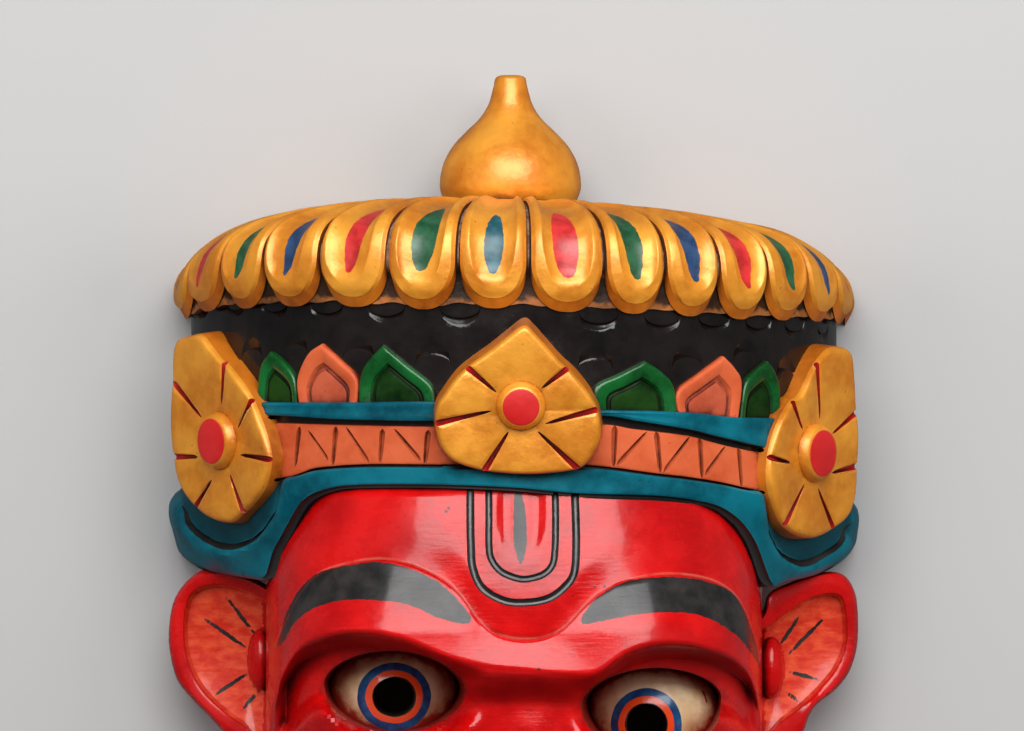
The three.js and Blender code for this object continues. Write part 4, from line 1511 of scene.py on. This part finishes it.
HOLLOW_TOP_Y = 84.0
HOLLOW_FOOT_Y = -150.0
HOLLOW_SQUARENESS = 3.2
HOLLOW_ROWS = 22


def hollow():
    """The bowl behind the face, narrower and less deep towards the chin and under the nose."""
    middle = (HOLLOW_TOP_Y + HOLLOW_FOOT_Y) / 2
    half = (HOLLOW_TOP_Y - HOLLOW_FOOT_Y) / 2
    sections = []
    for row in range(HOLLOW_ROWS + 1):
        along = min(0.985, -math.cos(math.pi * row / HOLLOW_ROWS))
        y = middle + half * along
        roundness = max(0.0, 1 - abs(along) ** HOLLOW_SQUARENESS) ** (1 / HOLLOW_SQUARENESS)
        chinward = float(smooth(0, -1, along))
        width = (69 - 22 * chinward) * roundness
        depth = (84 - 12 * chinward - 15 * math.exp(-((y + 36) / 28) ** 2)) * roundness
        arch = [(width * math.cos(turn), y, depth * math.sin(turn))
                for turn in np.linspace(0, np.pi, 33)]
        sections.append([(width, y, -10), *arch, (-width, y, -10)])
    return loft("hollow", sections, "wood")


def behind_rim():
    """A block behind the rim plane, which leaves the back flat."""
    corners = [(-200, -250), (200, -250), (200, 250), (-200, 250)]
    sections = [[(x, y, z) for x, y in corners] for z in (-90, 0)]
    return loft("behind_rim", sections, "wood")


def build_visual():
    """The whole mask as one closed mesh."""
    blossoms, blossom_cuts = flowers()
    added = [drum(), canopy_core(), *[petal(i) for i in range(len(PETALS))], finial(), collar(),
             band("salmon_band", SALMON_FOOT, SALMON_TOP, SALMON_RADIUS, 100, "salmon"),
             band("upper_strip", STRIP_FOOT, STRIP_TOP, STRIP_RADIUS, 70, "teal", dish=0.25),
             *leaves(), *blossoms, ear(-1), ear(1), tragus(-1), tragus(1)]
    cut_away = [*blossom_cuts, *forehead_mark(), *salmon_cuts(), *dark_lines(), mouth(),
                *[eye_opening(eye) for eye in EYES]]
    balls = [eyeball(eye) for eye in EYES]
    hollowed = [hollow(), behind_rim(), *[pupil_hole(eye) for eye in EYES]]
    mask = carve(head(), [("UNION", added), ("DIFFERENCE", cut_away), ("UNION", balls),
                          ("DIFFERENCE", hollowed)])
    drop_flecks(mask.data)
    return mask


def carve(body, steps):
    """Unites the body with what is added and cuts what is removed, keeping each material."""
    scene = bpy.context.scene
    for number, (operation, group) in enumerate(steps):
        collection = bpy.data.collections.new(f"step_{number}")
        scene.collection.children.link(collection)
        for part in group:
            collection.objects.link(part)
        modifier = body.modifiers.new(f"step_{number}", "BOOLEAN")
        modifier.operation = operation
        modifier.solver = "MANIFOLD"
        modifier.operand_type = "COLLECTION"
        modifier.collection = collection
        modifier.material_mode = "TRANSFER"
    scene.collection.objects.link(body)
    bpy.context.view_layer.update()
    evaluated = body.evaluated_get(bpy.context.evaluated_depsgraph_get())
    mesh = bpy.data.meshes.new_from_object(evaluated)
    scene.collection.objects.unlink(body)
    for _, group in steps:
        for part in group:
            bpy.data.objects.remove(part)
    for number in range(len(steps)):
        bpy.data.collections.remove(bpy.data.collections[f"step_{number}"])
    return bpy.data.objects.new(body.name, mesh)


# Painted marks, as distances in millimetres stored on the surface

# Outlines of the brows and the lens of the forehead mark
LEFT_BROW = seen((275, 650), (280, 634), (286, 613), (295.9, 594.8), (306, 582), (319, 573),
                 (334, 568), (352, 564.5), (370, 562), (388, 562.5), (403, 566), (418, 571.5),
                 (434, 579), (446.5, 588), (457, 598.5), (466, 609), (471.5, 617), (470, 622),
                 (462, 623), (449, 620), (434, 615), (418, 607.5), (403, 602.5), (388, 600.5),
                 (367, 599), (347, 599.5), (332, 602), (316, 607), (306, 613), (298, 619.5),
                 (291, 628), (284, 641))
RIGHT_BROW = seen((581, 617), (597, 597), (623, 582), (651, 577), (679, 577), (705, 581),
                  (731, 592), (745, 612), (757, 645), (763, 673), (757, 662), (750, 652),
                  (736, 635), (712, 620), (689, 613), (653, 612), (618, 617), (586, 623))
FOREHEAD_LENS = seen((515, 490), (513.5, 510), (513.2, 528), (513.8, 543), (516.5, 556),
                     (520.5, 565), (524.5, 556), (526.3, 543), (526.8, 528), (525, 510), (521, 490))

# Strokes in the ears by their ends, and wet lines at the inner corners of the eyes
EAR_STROKES = [seen(a, b, z=30) for a, b in (
    ((226, 597), (254, 633)), ((204, 619), (246, 648)), ((248, 673), (215, 695)),
    ((258, 692), (243, 709)), ((799, 617), (781, 644)), ((823, 620), (789, 654)),
    ((790, 672), (819, 680)), ((787, 693), (800, 703)))]
TEARS = [seen((346, 673), (341, 682), (342, 691)), seen((702, 691), (707, 699), (706, 708))]


def inside_distance(x, y, outline):
    """Distance to a closed outline, positive inside it."""
    points = through(outline, 4, closed=True)
    nearest = np.full(x.shape, 1e9)
    within = np.zeros(x.shape, bool)
    for (ax, ay), (bx, by) in zip(points, np.roll(points, -1, axis=0)):
        nearest = np.minimum(nearest, segment_distance(x, y, (ax, ay), (bx, by))[0])
        crossing = (ay > y) != (by > y)
        within ^= crossing & (x < (bx - ax) * (y - ay) / (by - ay + 1e-12) + ax)
    return np.where(within, nearest, -nearest)


def painted_ink(x, y):
    """Distance inside the black paint of the brows, the lens and the strokes in the ears."""
    ink = np.full(x.shape, -9.0)
    for outline in (LEFT_BROW, RIGHT_BROW, FOREHEAD_LENS):
        ink = np.maximum(ink, inside_distance(x, y, outline))
    for a, b in EAR_STROKES:
        distance, share = segment_distance(x, y, a, b)
        ink = np.maximum(ink, 0.32 + 0.36 * np.sin(np.pi * share) - distance)
    return ink


def lid_distance(x, y):
    """Distance beyond the edge of the nearer eye opening, negative inside it."""
    nearest = np.full(x.shape, 99.0)
    for eye in EYES:
        lean = math.radians(eye["lean"])
        dx, dy = x - eye["centre"][0], y - eye["centre"][1]
        u = (dx * math.cos(lean) + dy * math.sin(lean)) / eye["half"]
        v = dy * math.cos(lean) - dx * math.sin(lean)
        v = np.where(v > 0, v / eye["rise"], v / eye["fall"])
        reach = (np.abs(u) ** EYE_ROUNDNESS + np.abs(v) ** EYE_ROUNDNESS) ** (1 / EYE_ROUNDNESS)
        nearest = np.minimum(nearest, (reach - 1) * (eye["rise"] + eye["fall"]) / 2)
    return nearest


def ring_distance(x, y):
    """Distance from the middle of the nearer pupil, as if all pupils were of one radius."""
    pupil_radius = 7.27
    nearest = np.full(x.shape, 99.0)
    for eye in EYES:
        a, b = eye["pupil_half"]
        reach = np.hypot((x - eye["pupil"][0]) / a, (y - eye["pupil"][1]) / b)
        nearest = np.minimum(nearest, reach * pupil_radius)
    return nearest


def orange_distance(x, y, z):
    """Distance inside the orange paint of the ears and lips."""
    across = np.clip(np.abs(x - MOUTH_X) / 45, 0, 1)
    lips = 8.5 * np.sqrt(1 - across**2) - np.abs(y - MOUTH_LINE(x))
    value = np.where(z > 40, lips, -9.0)
    for side in (-1, 1):
        angle, reach = from_ear_centre(side, x, y)
        tragus_x, tragus_y = TRAGUS_PLACES[side]
        lump = np.hypot((x - tragus_x) / 4.8, (y - tragus_y) / 10.8)
        near = (side * x > 84.5) & (y < 8) & (z < ear_plane(x) - 0.8) & (lump > 1)
        inside = ear_reach(side, 1, angle) - reach
        value = np.where(near, np.maximum(value, inside), value)
    return value


def paint_marks(mesh):
    """Stores the distances that the materials read."""
    places = np.empty(len(mesh.vertices) * 3, np.float32)
    mesh.vertices.foreach_get("co", places)
    x, y, z = places.reshape(-1, 3).T.astype(float) / MM
    on_brow = (np.abs(x) < 80) & (y > -60) & (z > 40)
    tears = 0.42 - np.minimum(*[path_distance(x, y, line) for line in TEARS])
    store(mesh, "ink", painted_ink(x, y))
    # lid also places a liner and painted shade round the eyes; sunk places painted shade below the
    # flowers, ridge a painted highlight on the brows, below painted shade in the sockets.
    store(mesh, "lid", lid_distance(x, y))
    store(mesh, "ring", ring_distance(x, y))
    store(mesh, "tear", np.maximum(tears, -9.0))
    store(mesh, "orange", orange_distance(x, y, z))
    store(mesh, "sunk", np.maximum(*[sunk_distance(x, y, line) for line in COLLAR_LINES]))
    store(mesh, "ridge", np.where(np.abs(x) < 82, y - BROW_LINE(x), 9.0))
    store(mesh, "below", np.where(on_brow, SOCKET_LINE(x) - y, -9.0))


def even_shading(piece):
    """Smooth shading with crisp edges, in which broad faces outweigh slivers beside them."""
    piece.data.shade_smooth()
    piece.data.set_sharp_from_angle(angle=math.radians(36))
    weights = piece.modifiers.new("weights", "WEIGHTED_NORMAL")
    weights.keep_sharp = True
    bpy.context.view_layer.update()
    graph = bpy.context.evaluated_depsgraph_get()
    shaded = bpy.data.meshes.new_from_object(piece.evaluated_get(graph), depsgraph=graph)
    piece.modifiers.clear()
    piece.data = shaded


mask = build_visual()
mask.name = "carved_mask_surface"
bpy.context.scene.collection.objects.link(mask)
paint_marks(mask.data)
even_shading(mask)

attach(mask, "root")
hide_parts("carved_mask")


# Stage, lights and camera

def stage():
    """A plain pale floor, which doesn't show in the reflections on the lacquer."""
    half = 3.0
    mesh = bpy.data.meshes.new("floor")
    mesh.from_pydata([(-half, -half, 0), (half, -half, 0), (half, half, 0), (-half, half, 0)],
                     [], [(0, 1, 2, 3)])
    mesh.materials.append(floor_paper())
    floor = bpy.data.objects.new("floor", mesh)
    floor.visible_glossy = False
    bpy.context.scene.collection.objects.link(floor)


def area_light(name, place, target, size, power, mirrored=True):
    """A soft light; one that isn't mirrored lights the paint without a highlight."""
    light = bpy.data.lights.new(name, "AREA")
    light.shape = "RECTANGLE"
    light.size, light.size_y = size
    light.energy = power
    obj = bpy.data.objects.new(name, light)
    obj.location = place
    obj.visible_glossy = mirrored
    direction = Vector(target) - Vector(place)
    obj.rotation_euler = direction.to_track_quat("-Z", "Y").to_euler()
    bpy.context.scene.collection.objects.link(obj)


stage()
area_light("top", (0.05, 0.98, 1.42), (0, 0.05, 0.06), size=(1.7, 1.1), power=36)
area_light("left", (-1.25, 0.35, 0.9), (0, 0.04, 0.06), size=(0.7, 1.4), power=8, mirrored=False)
area_light("right", (1.25, 0.30, 0.9), (0, 0.04, 0.06), size=(0.7, 1.4), power=10,
           mirrored=False)

world = bpy.data.worlds.new("studio")
world.use_nodes = True
background = world.node_tree.nodes["Background"]
background.inputs["Color"].default_value = (0.95, 0.97, 1, 1)
background.inputs["Strength"].default_value = 0.10
bpy.context.scene.world = world
bpy.context.scene.view_settings.view_transform = "Standard"

camera_data = bpy.data.cameras.new("camera")
camera_data.sensor_width = SENSOR_WIDTH
camera_data.lens = SENSOR_WIDTH * (VIEW_DISTANCE - FOCUS_Z) / VIEW_WIDTH
camera_data.clip_end = 20
camera = bpy.data.objects.new("camera", camera_data)
camera.location = (VIEW_CENTRE[0] * MM, VIEW_CENTRE[1] * MM, VIEW_DISTANCE * MM)
bpy.context.scene.collection.objects.link(camera)
bpy.context.scene.camera = camera
